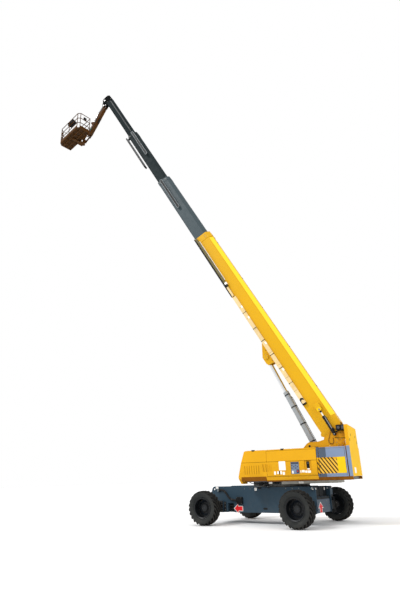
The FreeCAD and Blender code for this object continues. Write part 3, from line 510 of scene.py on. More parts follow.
def tyre(name, m, body):
    t = Shape(m)
    t.use(RUB_W)
    wall = [(0.357, 0.176), (0.366, 0.190), (0.374, 0.196), (0.392, 0.203), (0.398, 0.2085), (0.404, 0.2095), (0.410, 0.2075), (0.432, 0.2155),
            (0.446, 0.2185), (0.450, 0.2212), (0.470, 0.2215), (0.474, 0.2195), (0.492, 0.2195), (0.496, 0.2212), (0.504, 0.2185), (0.514, 0.210),
            (0.522, 0.2015)]
    inner = [(r, -y) for r, y in wall[::-1]]
    t.lathe(wall, (0, 0, 0), n=96)
    t.lathe(inner, (0, 0, 0), n=96)
    for f in [f for f in t.bm.faces if len(f.verts) > 4]:
        t.bm.faces.remove(f)
    t.use(RUB_D)
    crown = [(0.522, 0.2015), (0.530, 0.170), (0.5345, 0.12), (0.537, 0.06), (0.5375, 0.0), (0.537, -0.06), (0.5345, -0.12), (0.530, -0.170),
             (0.522, -0.2015)]
    before = set(t.bm.faces)
    t.lathe(crown, (0, 0, 0), n=96)
    for f in [f for f in t.bm.faces if f not in before and len(f.verts) > 4]:
        t.bm.faces.remove(f)
    t.lathe([(0.357, 0.176), (0.357, -0.176)], (0, 0, 0), n=96)
    for f in [f for f in t.bm.faces if len(f.verts) > 4]:
        t.bm.faces.remove(f)
    bmesh.ops.remove_doubles(t.bm, verts=t.bm.verts, dist=0.0002)
    # lugs: each runs from the middle of the tread to the shoulder and over it
    t.use(RUB)
    stations = [(0.006, 0.5768, 0.532, 0.022), (0.055, 0.5765, 0.531, 0.023), (0.100, 0.5755, 0.529, 0.025), (0.145, 0.573, 0.526, 0.027),
                (0.184, 0.5685, 0.520, 0.030), (0.205, 0.5575, 0.510, 0.031), (0.2170, 0.536, 0.500, 0.030), (0.2195, 0.508, 0.490, 0.026)]
    pitch = 2 * pi / LUGS
    for s in (1, -1):
        for k in range(LUGS):
            a0 = k * pitch + (pitch / 2 if s < 0 else 0)
            prev = None
            for i, (y, ro, ri, hw) in enumerate(stations):
                u = max(0.0, min(1.0, (y - 0.010) / 0.20))
                a = a0 - radians(24.0) * (u ** 0.85)
                ring = []
                for da, r in ((-hw, ri - 0.004), (-hw * 0.82, ro), (hw * 0.82, ro), (hw, ri - 0.004)):
                    th = a + da / 0.5775 * 1.02
                    yy = y if r == ro else y * (0.985 if i > 4 else 1.0)
                    ring.append(t.bm.verts.new((r * cos(th), s * yy, r * sin(th))))
                if prev:
                    for j in range(3):
                        t.face([prev[j], prev[j + 1], ring[j + 1], ring[j]])
                    t.face([prev[3], prev[0], ring[0], ring[3]])
                else:
                    t.face(ring)
                prev = ring
            t.face(prev[::-1])
    return t.done(name, body, "tyre_rubber", bevel=0.004, seg=1, angle=38, replaces=("tyre_" + name.split("_tyre")[0],))


def rim(name, m, body):
    t = Shape(m)
    t.use(RIM)
    prof = [(0.0, -0.120), (0.146, -0.120), (0.150, -0.100), (0.262, -0.110), (0.304, -0.112), (0.309, -0.172), (0.352, -0.188), (0.3535, -0.179),
            (0.327, -0.164), (0.3185, -0.060), (0.3185, 0.060), (0.327, 0.164), (0.3535, 0.179), (0.352, 0.189), (0.346, 0.1895), (0.341, 0.183),
            (0.318, 0.176), (0.309, 0.170), (0.303, 0.120), (0.297, 0.040), (0.299, -0.040), (0.303, -0.080), (0.296, -0.090), (0.262, -0.090)]
    t.lathe(prof, (0, 0, 0), n=80)
    t.use(RIM_H)
    t.lathe([(0.262, -0.090), (0.246, -0.086), (0.214, -0.068), (0.203, -0.062)], (0, 0, 0), n=80)
    t.use(RIM)
    t.lathe([(0.203, -0.062), (0.200, -0.048), (0.190, -0.045), (0.186, -0.060), (0.152, -0.052), (0.150, -0.038), (0.136, -0.036), (0.128, -0.004),
             (0.120, 0.002), (0.113, 0.0), (0.108, 0.004), (0.104, 0.010), (0.060, 0.011), (0.056, 0.007), (0.030, 0.007), (0.0, 0.007)], (0, 0, 0), n=64)
    for f in [f for f in t.bm.faces if len(f.verts) > 4]:
        t.bm.faces.remove(f)
    t.use(RIM_H)
    for k in range(12):
        a = 2 * pi * k / 12
        c = Vector((0.170 * cos(a), -0.054, 0.170 * sin(a)))
        t.bolt(c, (0, 1, 0), 0.0125, 0.022)
    for k in range(8):
        a = 2 * pi * (k + 0.5) / 8
        t.bolt((0.084 * cos(a), 0.0105, 0.084 * sin(a)), (0, 1, 0), 0.007, 0.005)
    # ventilation slots and valve
    t.use(BLACK)
    for k in range(8):
        a = 2 * pi * k / 8 + 0.2
        c = Vector((0.233 * cos(a), -0.083, 0.233 * sin(a)))
        t.cyl(c, c + Vector((0, 0.006, 0)), 0.017, 14)
    t.use(BOLT)
    t.pipe([(0.286, -0.085, 0), (0.286, -0.050, 0), (0.280, -0.020, 0)], 0.005, 8)
    return t.done(name, body, "rim_black", bevel=0.0015, seg=1, angle=40, replaces=("rim_" + name.split("_rim")[0],))


WH = {"front_left": (XF, 1, 6.0), "front_right": (XF, -1, 6.0), "rear_left": (XR, 1, 0.0), "rear_right": (XR, -1, 0.0)}
for wn, (x, s, yaw) in WH.items():
    m = wheel_frame(x, s, yaw)
    tyre(wn + "_tyre", m, "wheel_" + wn)
    rim(wn + "_rim", m, "wheel_" + wn)
    # knuckle details, inboard of the rim: drive motor's rings, bolts, kingpin caps
    k = Shape(m @ Matrix.Translation((0, -OUT, 0)))
    k.use(STEEL_D)
    k.lathe([(0.121, 0.195), (0.136, 0.195), (0.140, 0.200), (0.140, 0.222), (0.136, 0.227), (0.121, 0.227)], (0, 0, 0), n=40)
    k.use(BOLT)
    for i in range(10):
        a = 2 * pi * i / 10
        k.bolt((0.130 * cos(a), 0.227, 0.130 * sin(a)), (0, 1, 0), 0.006, 0.006)
    for zs in (1, -1):
        k.use(STEEL_D)
        k.cyl((0, 0, zs * 0.2565), (0, 0, zs * 0.266), 0.062, 24)
        k.use(BOLT)
        for i in range(5):
            a = 2 * pi * i / 5
            k.bolt((0.044 * cos(a), 0.044 * sin(a), zs * 0.266), (0, 0, zs), 0.0065, 0.006)
        k.cyl((0, 0, zs * 0.266), (0, 0, zs * 0.276), 0.006, 8)
    k.done(wn + "_kingpin_caps", "chassis", "dark_steel", bevel=0.001, seg=1)

# ------------------------------------------------------------------ chassis
c = Shape(M_CH)
HALF = 0.62
# top plate's edge flanges and reinforcing frames round the axle boxes
c.use(CH_G)
for s in (1, -1):
    for x0, x1 in ((-1.62, 1.62),):
        lo_, hi_ = sorted((s * (HALF - 0.055), s * (HALF - 0.012)))
        c.box(x0, x1, lo_, hi_, 1.2152, 1.226)
    for xc in (XF, XR):
        y0, y1 = sorted((s * (HALF + 0.061), s * (HALF + 0.074)))
        for a, b, z0, z1 in ((-0.20, -0.162, 0.37, 0.785), (0.162, 0.20, 0.37, 0.785), (-0.162, 0.162, 0.760, 0.785), (-0.162, 0.162, 0.37, 0.395)):
            yy0, yy1 = sorted((s * (HALF + 0.0005), s * (HALF + 0.03)))
            c.box(xc + a, xc + b, yy0, yy1, z0, z1)
c.done("chassis_flanges", "chassis", "chassis_grey", bevel=0.004)

c = Shape(M_CH)
c.use(CH_L)
# lighter plate low on the rear end, and its twin on the front end
for x, d in ((-2.0005, -1), (2.1905, 1)):
    x0, x1 = sorted((x, x + d * 0.012))
    c.prism([(-0.46 if d < 0 else -0.575, 0.385), (0.575, 0.385), (0.615, 0.62), (0.575, 0.80), (-0.575, 0.80), (-0.615, 0.62), (-0.615, 0.47)], x0, x1, "x")
c.done("chassis_end_plates", "chassis", "chassis_grey", bevel=0.003)

c = Shape(M_CH)
c.use(CH_D)
for x, d in ((-2.0005, -1), (2.1905, 1)):
    x0, x1 = sorted((x, x + d * 0.018))
    # dark frame above: hinge plate with ribs
    c.box(x0, x1, -0.56, 0.56, 0.80, 0.872)
    for y in (-0.42, -0.14, 0.14, 0.42):
        c.box(x0, x1, y - 0.012, y + 0.012, 0.80, 0.885)
    c.use(BOLT)
    for y in (-0.5, -0.3, 0.3, 0.5):
        c.bolt((x + d * 0.012, y, 0.74 if abs(y) < 0.4 else 0.60), (d, 0, 0), 0.014, 0.012)
    c.use(CH_D)
# dark cover between the cheeks, ahead of the lifting eyes, with ribs; a box on the right cheek's rear corner
for x, d in ((-1.885, -1), (2.045, 1)):
    x0, x1 = sorted((x, x + d * 0.022))
    c.box(x0, x1, -0.588, 0.588, 0.885, 1.212)
    for y in (-0.36, 0.0, 0.36):
        c.box(min(x1, x0) if d < 0 else x1, (x0 if d < 0 else x1) + d * 0.014, y - 0.012, y + 0.012, 0.90, 1.20) if d > 0 else c.box(x0 - 0.014, x0 + 0.002, y - 0.012, y + 0.012, 0.90, 1.20)
c.prism([(-0.6205, 0.86), (-0.80, 0.86), (-0.845, 0.91), (-0.845, 1.15), (-0.80, 1.208), (-0.6205, 1.208)], -2.045, -1.90, "x")
c.use(CH_G)
c.prism(rrect(-0.835, -0.635, 0.93, 1.12, 0.02, 3), -2.0495, -2.040, "x")
c.use(CH_D)
c.done("chassis_end_frames", "chassis", "chassis_grey", bevel=0.003)

# bolts, blank plates, black fittings and the oval hole on the cheeks
c = Shape(M_CH)
for s in (1, -1):
    y = s * HALF
    o = lambda t: tuple(sorted((y, y + s * t)))
    c.use(WHITE)
    for x0, x1, z0, z1 in ((0.222, 0.318, 1.105, 1.205), (1.930, 2.050, 1.185, 1.258), (-1.99, -1.905, 1.12, 1.185)):
        c.prism(rrect(x0, x1, z0, z1, 0.008, 2), *o(0.003), "y")
    c.use(BLACK)
    for x0, x1, z0, z1 in ((0.03, 0.175, 1.165, 1.212), (-0.31, -0.235, 1.182, 1.210)):
        c.prism(rrect(x0, x1, z0, z1, 0.008, 2), *o(0.022), "y")
    c.prism(rrect(-0.17, 0.0, 0.478, 0.542, 0.031, 6), *o(0.004), "y")
    c.use(CH_D)
    c.prism(rrect(1.60, 1.76, 0.40, 0.735, 0.012, 3), *o(0.012), "y")
    for z in (0.46, 0.57, 0.68):
        c.use(BOLT)
        c.bolt((1.64, y + s * 0.012, z), (0, s, 0), 0.012, 0.010)
        c.bolt((1.72, y + s * 0.012, z), (0, s, 0), 0.012, 0.010)
    for x in (-1.45, -1.2, -0.95, 0.5, 0.75):
        c.bolt((x, y, 1.17), (0, s, 0), 0.010, 0.008)
# rings round the lifting eyes
c.use(CH_G)
for x, z in ((2.12, 1.168), (-1.965, 1.12)):
    for s in (1, -1):
        y0, y1 = sorted((s * HALF, s * (HALF + 0.006)))
        c.lathe([(0.0365, y0), (0.060, y0), (0.060, y1), (0.0365, y1)], (x, 0, z), n=32, close=True)
# blank plates on the rear end
c.use(WHITE)
for y0, y1, z0, z1 in ((0.22, 0.40, 1.110, 1.165), (-0.50, -0.43, 1.075, 1.165)):
    c.prism(rrect(y0, y1, z0, z1, 0.006, 2), -1.9115, -1.904, "x")
c.prism(rrect(-0.838, -0.760, 1.145, 1.205, 0.006, 2), -2.0520, -2.040, "x")
c.done("chassis_fittings", "chassis", "chassis_grey")

# direction arrows: red with a white outline; one on each cheek, one on each end
def arrow(shape, cx, cz, L_, W_, ang, t0, t1, axis, grow):
    body = 0.24 * W_
    pts = [(-L_ / 2, -body), (0.02 * L_, -body), (0.02 * L_, -W_ / 2), (L_ / 2, 0), (0.02 * L_, W_ / 2), (0.02 * L_, body), (-L_ / 2, body)]
    if grow:
        g = grow
        pts = [(-L_ / 2 - g, -body - g), (0.02 * L_ - g, -body - g), (0.02 * L_ - g, -W_ / 2 - 1.7 * g), (L_ / 2 + 1.9 * g, 0),
               (0.02 * L_ - g, W_ / 2 + 1.7 * g), (0.02 * L_ - g, body + g), (-L_ / 2 - g, body + g)]
    a = radians(ang)
    pts = [(cx + p * cos(a) - q * sin(a), cz + p * sin(a) + q * cos(a)) for p, q in pts]
    shape.prism(pts, t0, t1, axis)


c = Shape(M_CH)
for s in (1, -1):
    y0, y1 = sorted((s * HALF, s * (HALF + 0.003)))
    c.use(WHITE)
    arrow(c, 1.055, 0.505, 0.355, 0.30, 0, y0, y1, "y", 0.017)
    c.use(RED)
    y0, y1 = sorted((s * (HALF + 0.0005), s * (HALF + 0.0055)))
    arrow(c, 1.055, 0.505, 0.355, 0.30, 0, y0, y1, "y", 0)
for x, d in ((-2.0125, -1), (2.2025, 1)):
    x0, x1 = sorted((x, x + d * 0.003))
    c.use(WHITE)
    arrow(c, 0.235 * (-d), 0.545, 0.300, 0.345, 90, x0, x1, "x", 0.020)
    c.use(RED)
    x0, x1 = sorted((x, x + d * 0.0055))
    arrow(c, 0.235 * (-d), 0.545, 0.300, 0.345, 90, x0, x1, "x", 0)
c.done("direction_arrows", "chassis", "chassis_grey")

# valve box: cover with ribs and bolts, plugs, short rigid pipes below into the recess
c = Shape(M_CH)
c.use(BLACK)
y = HALF + 0.075
c.prism(rrect(0.852, 1.083, 0.672, 0.888, 0.018), y - 0.01, y + 0.014, "y")
for z in (0.72, 0.76, 0.80, 0.84):
    c.box(0.875, 1.06, y + 0.012, y + 0.020, z - 0.007, z + 0.007)
c.use(BOLT)
for x in (0.868, 1.067):
    for z in (0.688, 0.872):
        c.bolt((x, y + 0.014, z), (0, 1, 0), 0.007, 0.006)
c.use(BLACK)
for x in (0.90, 0.96, 1.02):
    c.cyl((x, HALF + 0.04, 0.664), (x, HALF + 0.04, 0.630), 0.016, 14)
c.done("valve_box_cover", "chassis", "chassis_grey", bevel=0.003)

# inside the open recess: manifold, spools and pipes
c = Shape(M_CH)
c.use(BLACK)
c.box(1.275, 1.49, 0.492, 0.545, 0.44, 0.64)
for z in (0.49, 0.54, 0.59):
    c.cyl((1.262, 0.525, z), (1.505, 0.525, z), 0.015, 14)
c.use(STEEL_D)
for x in (1.31, 1.37, 1.43):
    c.cyl((x, 0.54, 0.60), (x, 0.585, 0.60), 0.020, 14)
    c.cyl((x, 0.54, 0.49), (x, 0.575, 0.49), 0.016, 14)
c.use(BLACK)
c.pipe([(1.31, 0.56, 0.60), (1.31, 0.572, 0.42), (1.31, 0.54, 0.39)], 0.010)
c.pipe([(1.43, 0.56, 0.60), (1.45, 0.572, 0.43), (1.47, 0.53, 0.40)], 0.010)
c.done("recess_manifold", "chassis", "chassis_grey", bevel=0.002)

# hose sleeve's clip and the fitting's cap
c = Shape(M_CH)
c.use(STEEL_D)
for (x, y, z), d in (((1.60, 0.6655, 1.077), Vector((-0.71, 0, -0.70))), ((1.30, 0.6645, 0.806), Vector((-0.98, 0, -0.2)))):
    p = Vector((x, y, z))
    d = d.normalized()
    c.cyl(p - d * 0.016, p + d * 0.016, 0.0405, 24)
    c.prism(rrect(x - 0.022, x + 0.022, z - 0.022, z + 0.022, 0.006, 2), HALF + 0.0, HALF + 0.03, "y")
c.use(PALE)
c.prism(rrect(1.874, 1.934, 1.091, 1.184, 0.012), HALF + 0.07, HALF + 0.086, "y")
c.use(BLACK)
for z in (1.117, 1.159):
    c.cyl((1.904, HALF + 0.08, z), (1.904, HALF + 0.097, z), 0.013, 14)
c.done("hose_clips", "chassis", "dark_steel", bevel=0.0015, seg=1)

# axle boxes: end flanges with bolts, extension cylinders, rigid pipes
c = Shape(M_CH)
for xc, e in ((XF, 1), (XR, -1)):
    for s in (1, -1):
        for t0, t1, g in ((HALF + 0.0605, HALF + 0.075, 0.012),):
            y0, y1 = sorted((s * t0, s * t1))
            c.use(STEEL_D)
            c.box(xc - 0.160 - g, xc - 0.118, y0, y1, 0.397 - g, 0.757 + g)
            c.box(xc + 0.118, xc + 0.160 + g, y0, y1, 0.397 - g, 0.757 + g)
            c.box(xc - 0.118, xc + 0.118, y0, y1, 0.719, 0.757 + g)
            c.box(xc - 0.118, xc + 0.118, y0, y1, 0.397 - g, 0.436)
        c.use(BOLT)
        for dx in (-0.148, 0.148):
            for z in (0.43, 0.51, 0.645, 0.725):
                c.bolt((xc + dx, s * (HALF + 0.075), z), (0, s, 0), 0.009, 0.008)
        # steering cylinder along the axle beam, behind it
        c.use(BLACK)
        xs = xc - e * 0.150
        c.cyl((xs, s * 0.70, 0.60), (xs, s * 0.98, 0.60), 0.028, 18)
        c.use(CHROME)
        c.cyl((xs, s * 0.98, 0.60), (xs, s * 1.045, 0.60), 0.013, 14)
        c.use(STEEL_D)
        c.box(xs - 0.03, xs + 0.03, min(s * 0.682, s * 0.70), max(s * 0.682, s * 0.70), 0.565, 0.635)
        c.box(xs - 0.022, xs + 0.022, min(s * 1.035, s * 1.060), max(s * 1.035, s * 1.060), 0.575, 0.625)
        c.box(min(xs, xc - e * 0.119), max(xs, xc - e * 0.119), min(s * 0.80, s * 0.83), max(s * 0.80, s * 0.83), 0.585, 0.615)
        c.use(BLACK)
        c.pipe([(xc - e * 0.05, s * 0.70, 0.732), (xc - e * 0.05, s * 0.90, 0.732), (xc - e * 0.05, s * 1.03, 0.732), (xc - e * 0.05, s * 1.055, 0.790)], 0.009)
        c.pipe([(xc + e * 0.02, s * 0.70, 0.730), (xc + e * 0.02, s * 0.92, 0.730), (xc + e * 0.02, s * 1.04, 0.730)], 0.009)
        c.use(BOLT)
        for z in (0.36, 0.795):
            for dx in (-0.09, 0.09):
                c.bolt((xc + dx, s * 1.1105, z), (0, s, 0), 0.011, 0.009)
c.done("axle_fittings", "chassis", "dark_steel", bevel=0.002, seg=1)

# slewing ring: bolts round its flange
c = Shape(M_CH @ Matrix.Translation((SLEW_X, 0, 0)))
c.use(STEEL_D)
c.lathe([(0.6605, 1.218), (0.682, 1.218), (0.682, 1.236), (0.6605, 1.236)], (0, 0, 0), "z", 72, close=True)
c.use(BOLT)
for k in range(36):
    a = 2 * pi * k / 36
    c.bolt((0.671 * cos(a), 0.671 * sin(a), 1.236), (0, 0, 1), 0.006, 0.005)
c.done("slew_ring_flange", "chassis", "dark_steel")

# ------------------------------------------------------------------ turret: hoods and doors, the same on both sides
B1, CREASE, HTOP = 1.217, 2.06, 2.445
SLOPE = 0.045 / (HTOP - CREASE)


def bz(z):
    return B1 if z <= CREASE else B1 - (z - CREASE) * SLOPE


def skin(shape, a0, a1, z0, z1, t, under=0.0015):
    """Thin plate that follows the hood's side between two heights."""
    zs = [z0] + ([CREASE] if z0 < CREASE < z1 else []) + [z1]
    pts = [(bz(z) + t, z) for z in zs] + [(bz(z) - under, z) for z in zs[::-1]]
    shape.prism(pts, a0, a1, "x")


def stripes(shape, a0, a1, z0, z1, t):
    """Dark slanting stripes, clipped to a rectangle on the flat part of the side."""
    k = 0.70          # run along the machine for each metre of height
    pitch, wid = 0.1175, 0.050
    n = -40
    while n < 60:
        base = -1.402 - n * pitch - k * (2.039 - z1 - 0.2)
        poly = [(base, z1 + 0.2), (base - wid, z1 + 0.2), (base - wid - k * (z1 - z0 + 0.4), z0 - 0.2), (base - k * (z1 - z0 + 0.4), z0 - 0.2)]
        poly = clip(poly, a0, a1, z0, z1)
        if len(poly) > 2:
            low = [p for p in poly]
            if z1 <= CREASE:
                shape.prism(low, B1 - 0.001, B1 + t, "y")
        n += 1


MIR = Matrix.Diagonal((1, -1, 1, 1))
for side, mt in (("left", M_T), ("right", M_T @ MIR)):
    # fixed parts: post between the doors, rim over them, sill and rear column
    g = Shape(mt)
    g.use(FR_D)
    skin(g, -1.4205, -1.3605, 2.117, 2.443, 0.004)
    skin(g, -1.4205, -1.3605, 1.5095, 1.612, 0.004)
    skin(g, -1.675, -1.4215, 2.405, 2.443, 0.004)
    skin(g, -1.640, -1.4215, 1.5095, 1.556, 0.004)
    g.use(FR_L)
    skin(g, -2.289, -1.676, 2.405, 2.443, 0.004)
    skin(g, -2.289, -1.641, 1.5095, 1.556, 0.004)
    skin(g, -2.3295, -2.2905, 1.5095, 2.443, 0.004)
    g.prism([(-2.4715, 1.512), (-2.3615, 1.512), (-2.3615, 2.452), (-2.4715, 2.458)], B1 - 0.001, B1 + 0.005, "y")
    g.use(STRIPE)
    stripes(g, -1.4205, -1.3605, 1.615, 2.058, 0.003)
    g.done("frame_fixed_" + side, "turntable", "panel_grey")
    d = Shape(mt)
    d.use(FR_D)
    skin(d, -1.675, -1.4365, 2.117, 2.400, 0.004)
    skin(d, -1.640, -1.4365, 1.5595, 1.612, 0.004)
    d.use(FR_L)
    skin(d, -2.2805, -1.676, 2.117, 2.400, 0.004)
    skin(d, -2.2805, -1.641, 1.5595, 1.612, 0.004)
    d.use(GROUND)
    d.box(-2.022, -1.4365, B1 - 0.001, B1 + 0.0012, 1.613, 2.0585)
    d.use(STRIPE)
    stripes(d, -2.020, -1.4365, 1.615, 2.058, 0.003)
    k, pitch, wid = 0.70, 0.1175, 0.050
    for n in range(-2, 9):       # their upper ends, on the leaning part above the crease
        base = -1.402 - n * pitch
        z0_, z1_ = CREASE, 2.115
        f = lambda z: base - k * (2.039 - z)
        pts = [(f(z0_), z0_), (f(z0_) - wid, z0_), (f(z1_) - wid, z1_), (f(z1_), z1_)]
        if min(p[0] for p in pts) < -2.02 or max(p[0] for p in pts) > -1.4365:
            continue
        vs = [d.bm.verts.new((p[0], bz(p[1]) + 0.003, p[1])) for p in pts]
        d.face(vs)
    d.use(Y_P)
    skin(d, -2.280, -2.024, 1.616, 2.114, 0.0035)
    d.use(BLACK_P)
    d.prism(rrect(-1.475, -1.452, 1.80, 1.88, 0.008, 3), B1 - 0.001, B1 + 0.010, "y")
    d.use(Y_T)
    for z in (1.66, 1.97):
        d.cyl((-2.282, B1 - 0.004, z), (-2.282, B1 - 0.004, z + 0.06), 0.009, 12)
    d.done("frame_door_" + side, "door_%s_rear" % side, "panel_grey")

    # front door: lip along the crease, louvres, blank plates
    d = Shape(mt)
    d.use(SEAM)
    skin(d, -1.343, 0.390, CREASE - 0.020, CREASE - 0.008, 0.0018)
    skin(d, -1.343, 0.390, 1.572, 1.582, 0.0018)
    d.use(Y_T)
    skin(d, -1.343, 0.390, CREASE - 0.010, CREASE + 0.006, 0.004)
    skin(d, -1.343, 0.390, 1.5595, 1.574, 0.004)
    for i in range(3):
        a = 0.215 + 0.060 * i
        d.prism([(a, 1.735), (a + 0.020, 1.735), (a + 0.055, 1.97), (a + 0.035, 1.97)], B1 - 0.001, B1 + 0.009, "y")
    for z in (1.66, 1.97):
        d.cyl((0.392, B1 - 0.004, z), (0.392, B1 - 0.004, z + 0.06), 0.009, 12)
    if side == "left":
        # rims round the two recesses
        for a0, a1, z0, z1 in ((-0.740, -0.450, 1.622, 2.018), (-1.150, -0.920, 1.740, 2.050)):
            for p in ((a0 - 0.008, a0, z0 - 0.008, z1), (a1, a1 + 0.008, z0 - 0.008, z1), (a0 - 0.008, a1 + 0.008, z0 - 0.016, z0)):
                d.box(p[0], p[1], B1 - 0.001, B1 + 0.005, p[2], p[3])
        # brown bands under the top edge of each recess: painted shadow
        d.use(BROWN)
        d.box(-0.739, -0.451, B1 - 0.021, B1 - 0.0005, 2.008, 2.0175)
        d.box(-1.149, -0.921, B1 - 0.029, B1 - 0.0005, 2.036, 2.0495)
        # socket and switch in the rear recess
        d.use(BLACK_P)
        d.cyl((-1.055, B1 - 0.030, 1.958), (-1.055, B1 - 0.002, 1.958), 0.040, 28)
        d.cyl((-1.035, B1 - 0.030, 1.855), (-1.035, B1 - 0.006, 1.855), 0.033, 28)
        d.box(-1.09, -0.99, B1 - 0.031, B1 - 0.020, 1.80, 2.01)
        d.use(BOLT)
        d.cyl((-1.055, B1 - 0.004, 1.958), (-1.055, B1 + 0.002, 1.958), 0.016, 18)
        d.use(WHITE)
        d.prism(rrect(-1.085, -1.005, 1.752, 1.792, 0.005, 2), B1 - 0.031, B1 - 0.026, "y")
        # plates without lettering
        for a0, a1, z0, z1 in ((0.085, 0.150, 1.622, 1.728), (-0.018, 0.040, 1.640, 1.730), (-0.128, -0.068, 1.628, 1.735), (-0.228, -0.150, 1.612, 1.706),
                               (-0.800, -0.770, 1.655, 1.735), (-0.915, -0.822, 1.668, 1.742), (-1.010, -0.930, 1.655, 1.742), (-1.118, -1.025, 1.648, 1.738)):
            d.prism(rrect(a0, a1, z0, z1, 0.006, 2), B1 - 0.001, B1 + 0.0025, "y")
        d.prism(rrect(-0.270, -0.037, 1.755, 2.046, 0.010, 3), B1 - 0.001, B1 + 0.0035, "y")
        d.use(BLACK_P)
        d.prism(rrect(-0.060, -0.026, 1.628, 1.742, 0.005, 2), B1 - 0.001, B1 + 0.005, "y")
    else:
        # engine side: louvred vent and a blank plate
        d.use(BLACK_P)
        d.prism(rrect(-0.98, -0.30, 1.66, 1.99, 0.03, 4), B1 - 0.001, B1 + 0.003, "y")
        d.use(Y_T)
        for i in range(9):
            z = 1.685 + 0.034 * i
            d.prism([(B1 + 0.001, z), (B1 + 0.016, z + 0.004), (B1 + 0.001, z + 0.022)], -0.955, -0.325, "x")
        d.use(WHITE)
        d.prism(rrect(-0.15, 0.05, 1.72, 1.84, 0.01, 3), B1 - 0.001, B1 + 0.0025, "y")
        d.use(BLACK_P)
        d.prism(rrect(-1.28, -1.20, 1.80, 1.86, 0.012, 3), B1 - 0.001, B1 + 0.012, "y")
    d.done("door_front_trim_" + side, "door_%s_front" % side, "machine_yellow", bevel=0.0015, seg=1)

    # fixed front of the hood: lip, blank panel with shallow ribs, louvres, latches and pads on top
    g = Shape(mt)
    g.use(SEAM)
    skin(g, 0.402, 1.315, CREASE - 0.020, CREASE - 0.008, 0.0018)
    g.use(Y_T)
    skin(g, 0.402, 1.305, CREASE - 0.010, CREASE + 0.006, 0.004)
    g.prism(rrect(0.655, 1.275, 1.615, 1.985, 0.03, 4), B1 - 0.001, B1 + 0.0025, "y")
    g.use(RIB)
    for i in range(7):
        a = 0.70 + 0.086 * i
        g.prism(rrect(a - 0.016, a + 0.002, 1.655, 1.945, 0.008, 3), B1 + 0.001, B1 + 0.0032, "y")
    for i in range(4):
        a = 0.235 + 0.085 * i if i > 1 else 0.0
        if i > 1:
            g.prism([(a, 1.725), (a + 0.026, 1.725), (a + 0.060, 1.975), (a + 0.034, 1.975)], B1 - 0.001, B1 + 0.0012, "y")
    g.use(Y_T)
    for i in range(7):
        a = 0.70 + 0.086 * i
        g.prism(rrect(a, a + 0.030, 1.66, 1.94, 0.012, 3), B1 + 0.001, B1 + 0.007, "y")
    for i in range(3):
        a = 0.415 + 0.060 * i
        g.prism([(a, 1.735), (a + 0.020, 1.735), (a + 0.055, 1.97), (a + 0.035, 1.97)], B1 - 0.001, B1 + 0.009, "y")
    # raised panels on the hood's top with their seams
    for a0, a1 in ((-2.26, -1.44), (-1.34, -0.50), (-0.46, 0.39), (0.47, 1.14)):
        g.prism(rrect(a0, a1, 0.66, 1.13, 0.04, 4), HTOP - 0.001, HTOP + 0.006, "z")
    g.box(-2.32, 1.16, 0.622, 0.634, HTOP - 0.001, HTOP + 0.012)
    g.use(BLACK_P)
    for a in (0.88, -0.185):
        g.prism(rrect(a - 0.062, a + 0.062, 1.145, 1.172, 0.010, 3), HTOP - 0.001, HTOP + 0.022, "z")
        g.prism([(1.171, HTOP - 0.026), (1.186, HTOP - 0.020), (1.176, HTOP + 0.020), (1.160, HTOP + 0.020)], a - 0.05, a + 0.05, "x")
    for a0, a1 in ((-1.25, -0.60), (-0.36, 0.30)):
        g.prism(rrect(a0, a1, 0.74, 1.05, 0.03, 3), HTOP + 0.005, HTOP + 0.009, "z")
    g.use(BOLT)
    for a in (-2.22, -1.48, -1.30, -0.54, -0.42, 0.35, 0.51, 1.10):
        for b in (0.69, 1.10):
            g.bolt((a, b, HTOP + 0.006), (0, 0, 1), 0.008, 0.006)
    g.use(BROWN)
    # shaded skirt under the front of the hood
    g.prism([(1.186, 1.4305), (1.212, 1.4305), (B1 + 0.0045, 1.470), (B1 + 0.0045, 1.572), (1.186, 1.572)], 0.434, 1.352, "x")
    # shaded lower edge of the sill
    g.prism([(1.182, 1.405), (1.198, 1.405), (1.214, 1.505), (1.182, 1.505)], -2.465, 0.425, "x")
    g.use(Y_T)
    g.prism([(1.2030, 1.446), (1.2062, 1.446), (1.2164, 1.508), (1.2120, 1.508)], -1.355, 0.425, "x")
    g.done("hood_trim_" + side, "turntable", "machine_yellow", bevel=0.0015, seg=1)

# control panel: face plate, blank switch caps, stop button, shaded top
p = Shape(M_T)
p.use(PANEL)
p.prism(rrect(-0.728, -0.462, 1.634, 2.006, 0.012, 3), B1 - 0.0025, B1 + 0.0005, "y")
p.use(PANEL_D)
p.prism(rrect(-0.722, -0.468, 1.945, 1.998, 0.008, 3), B1 - 0.001, B1 + 0.0025, "y")
p.prism(rrect(-0.720, -0.640, 1.650, 1.770, 0.008, 3), B1 - 0.001, B1 + 0.0025, "y")
for i in range(4):
    for j in range(3):
        a, z = -0.70 + 0.062 * i, 1.80 + 0.045 * j
        p.use(PANEL_D if (i + j) % 2 else FR_L)
        p.prism(rrect(a, a + 0.042, z, z + 0.028, 0.005, 2), B1 - 0.001, B1 + 0.004, "y")
        p.use(BLACK_P)
        p.cyl((a + 0.021, B1 + 0.003, z + 0.014), (a + 0.021, B1 + 0.010, z + 0.014), 0.006, 12)
p.use(FR_L)
p.prism(rrect(-0.625, -0.555, 1.66, 1.76, 0.006, 2), B1 - 0.001, B1 + 0.003, "y")
p.use(WHITE)
p.prism(rrect(-0.535, -0.480, 1.642, 1.730, 0.006, 2), B1 - 0.001, B1 + 0.003, "y")
p.use(RED)
p.cyl((-0.675, B1 - 0.001, 1.71), (-0.675, B1 + 0.010, 1.71), 0.020, 24)
p.done("control_panel_face", "door_left_front", "panel_grey", bevel=0.001, seg=1)
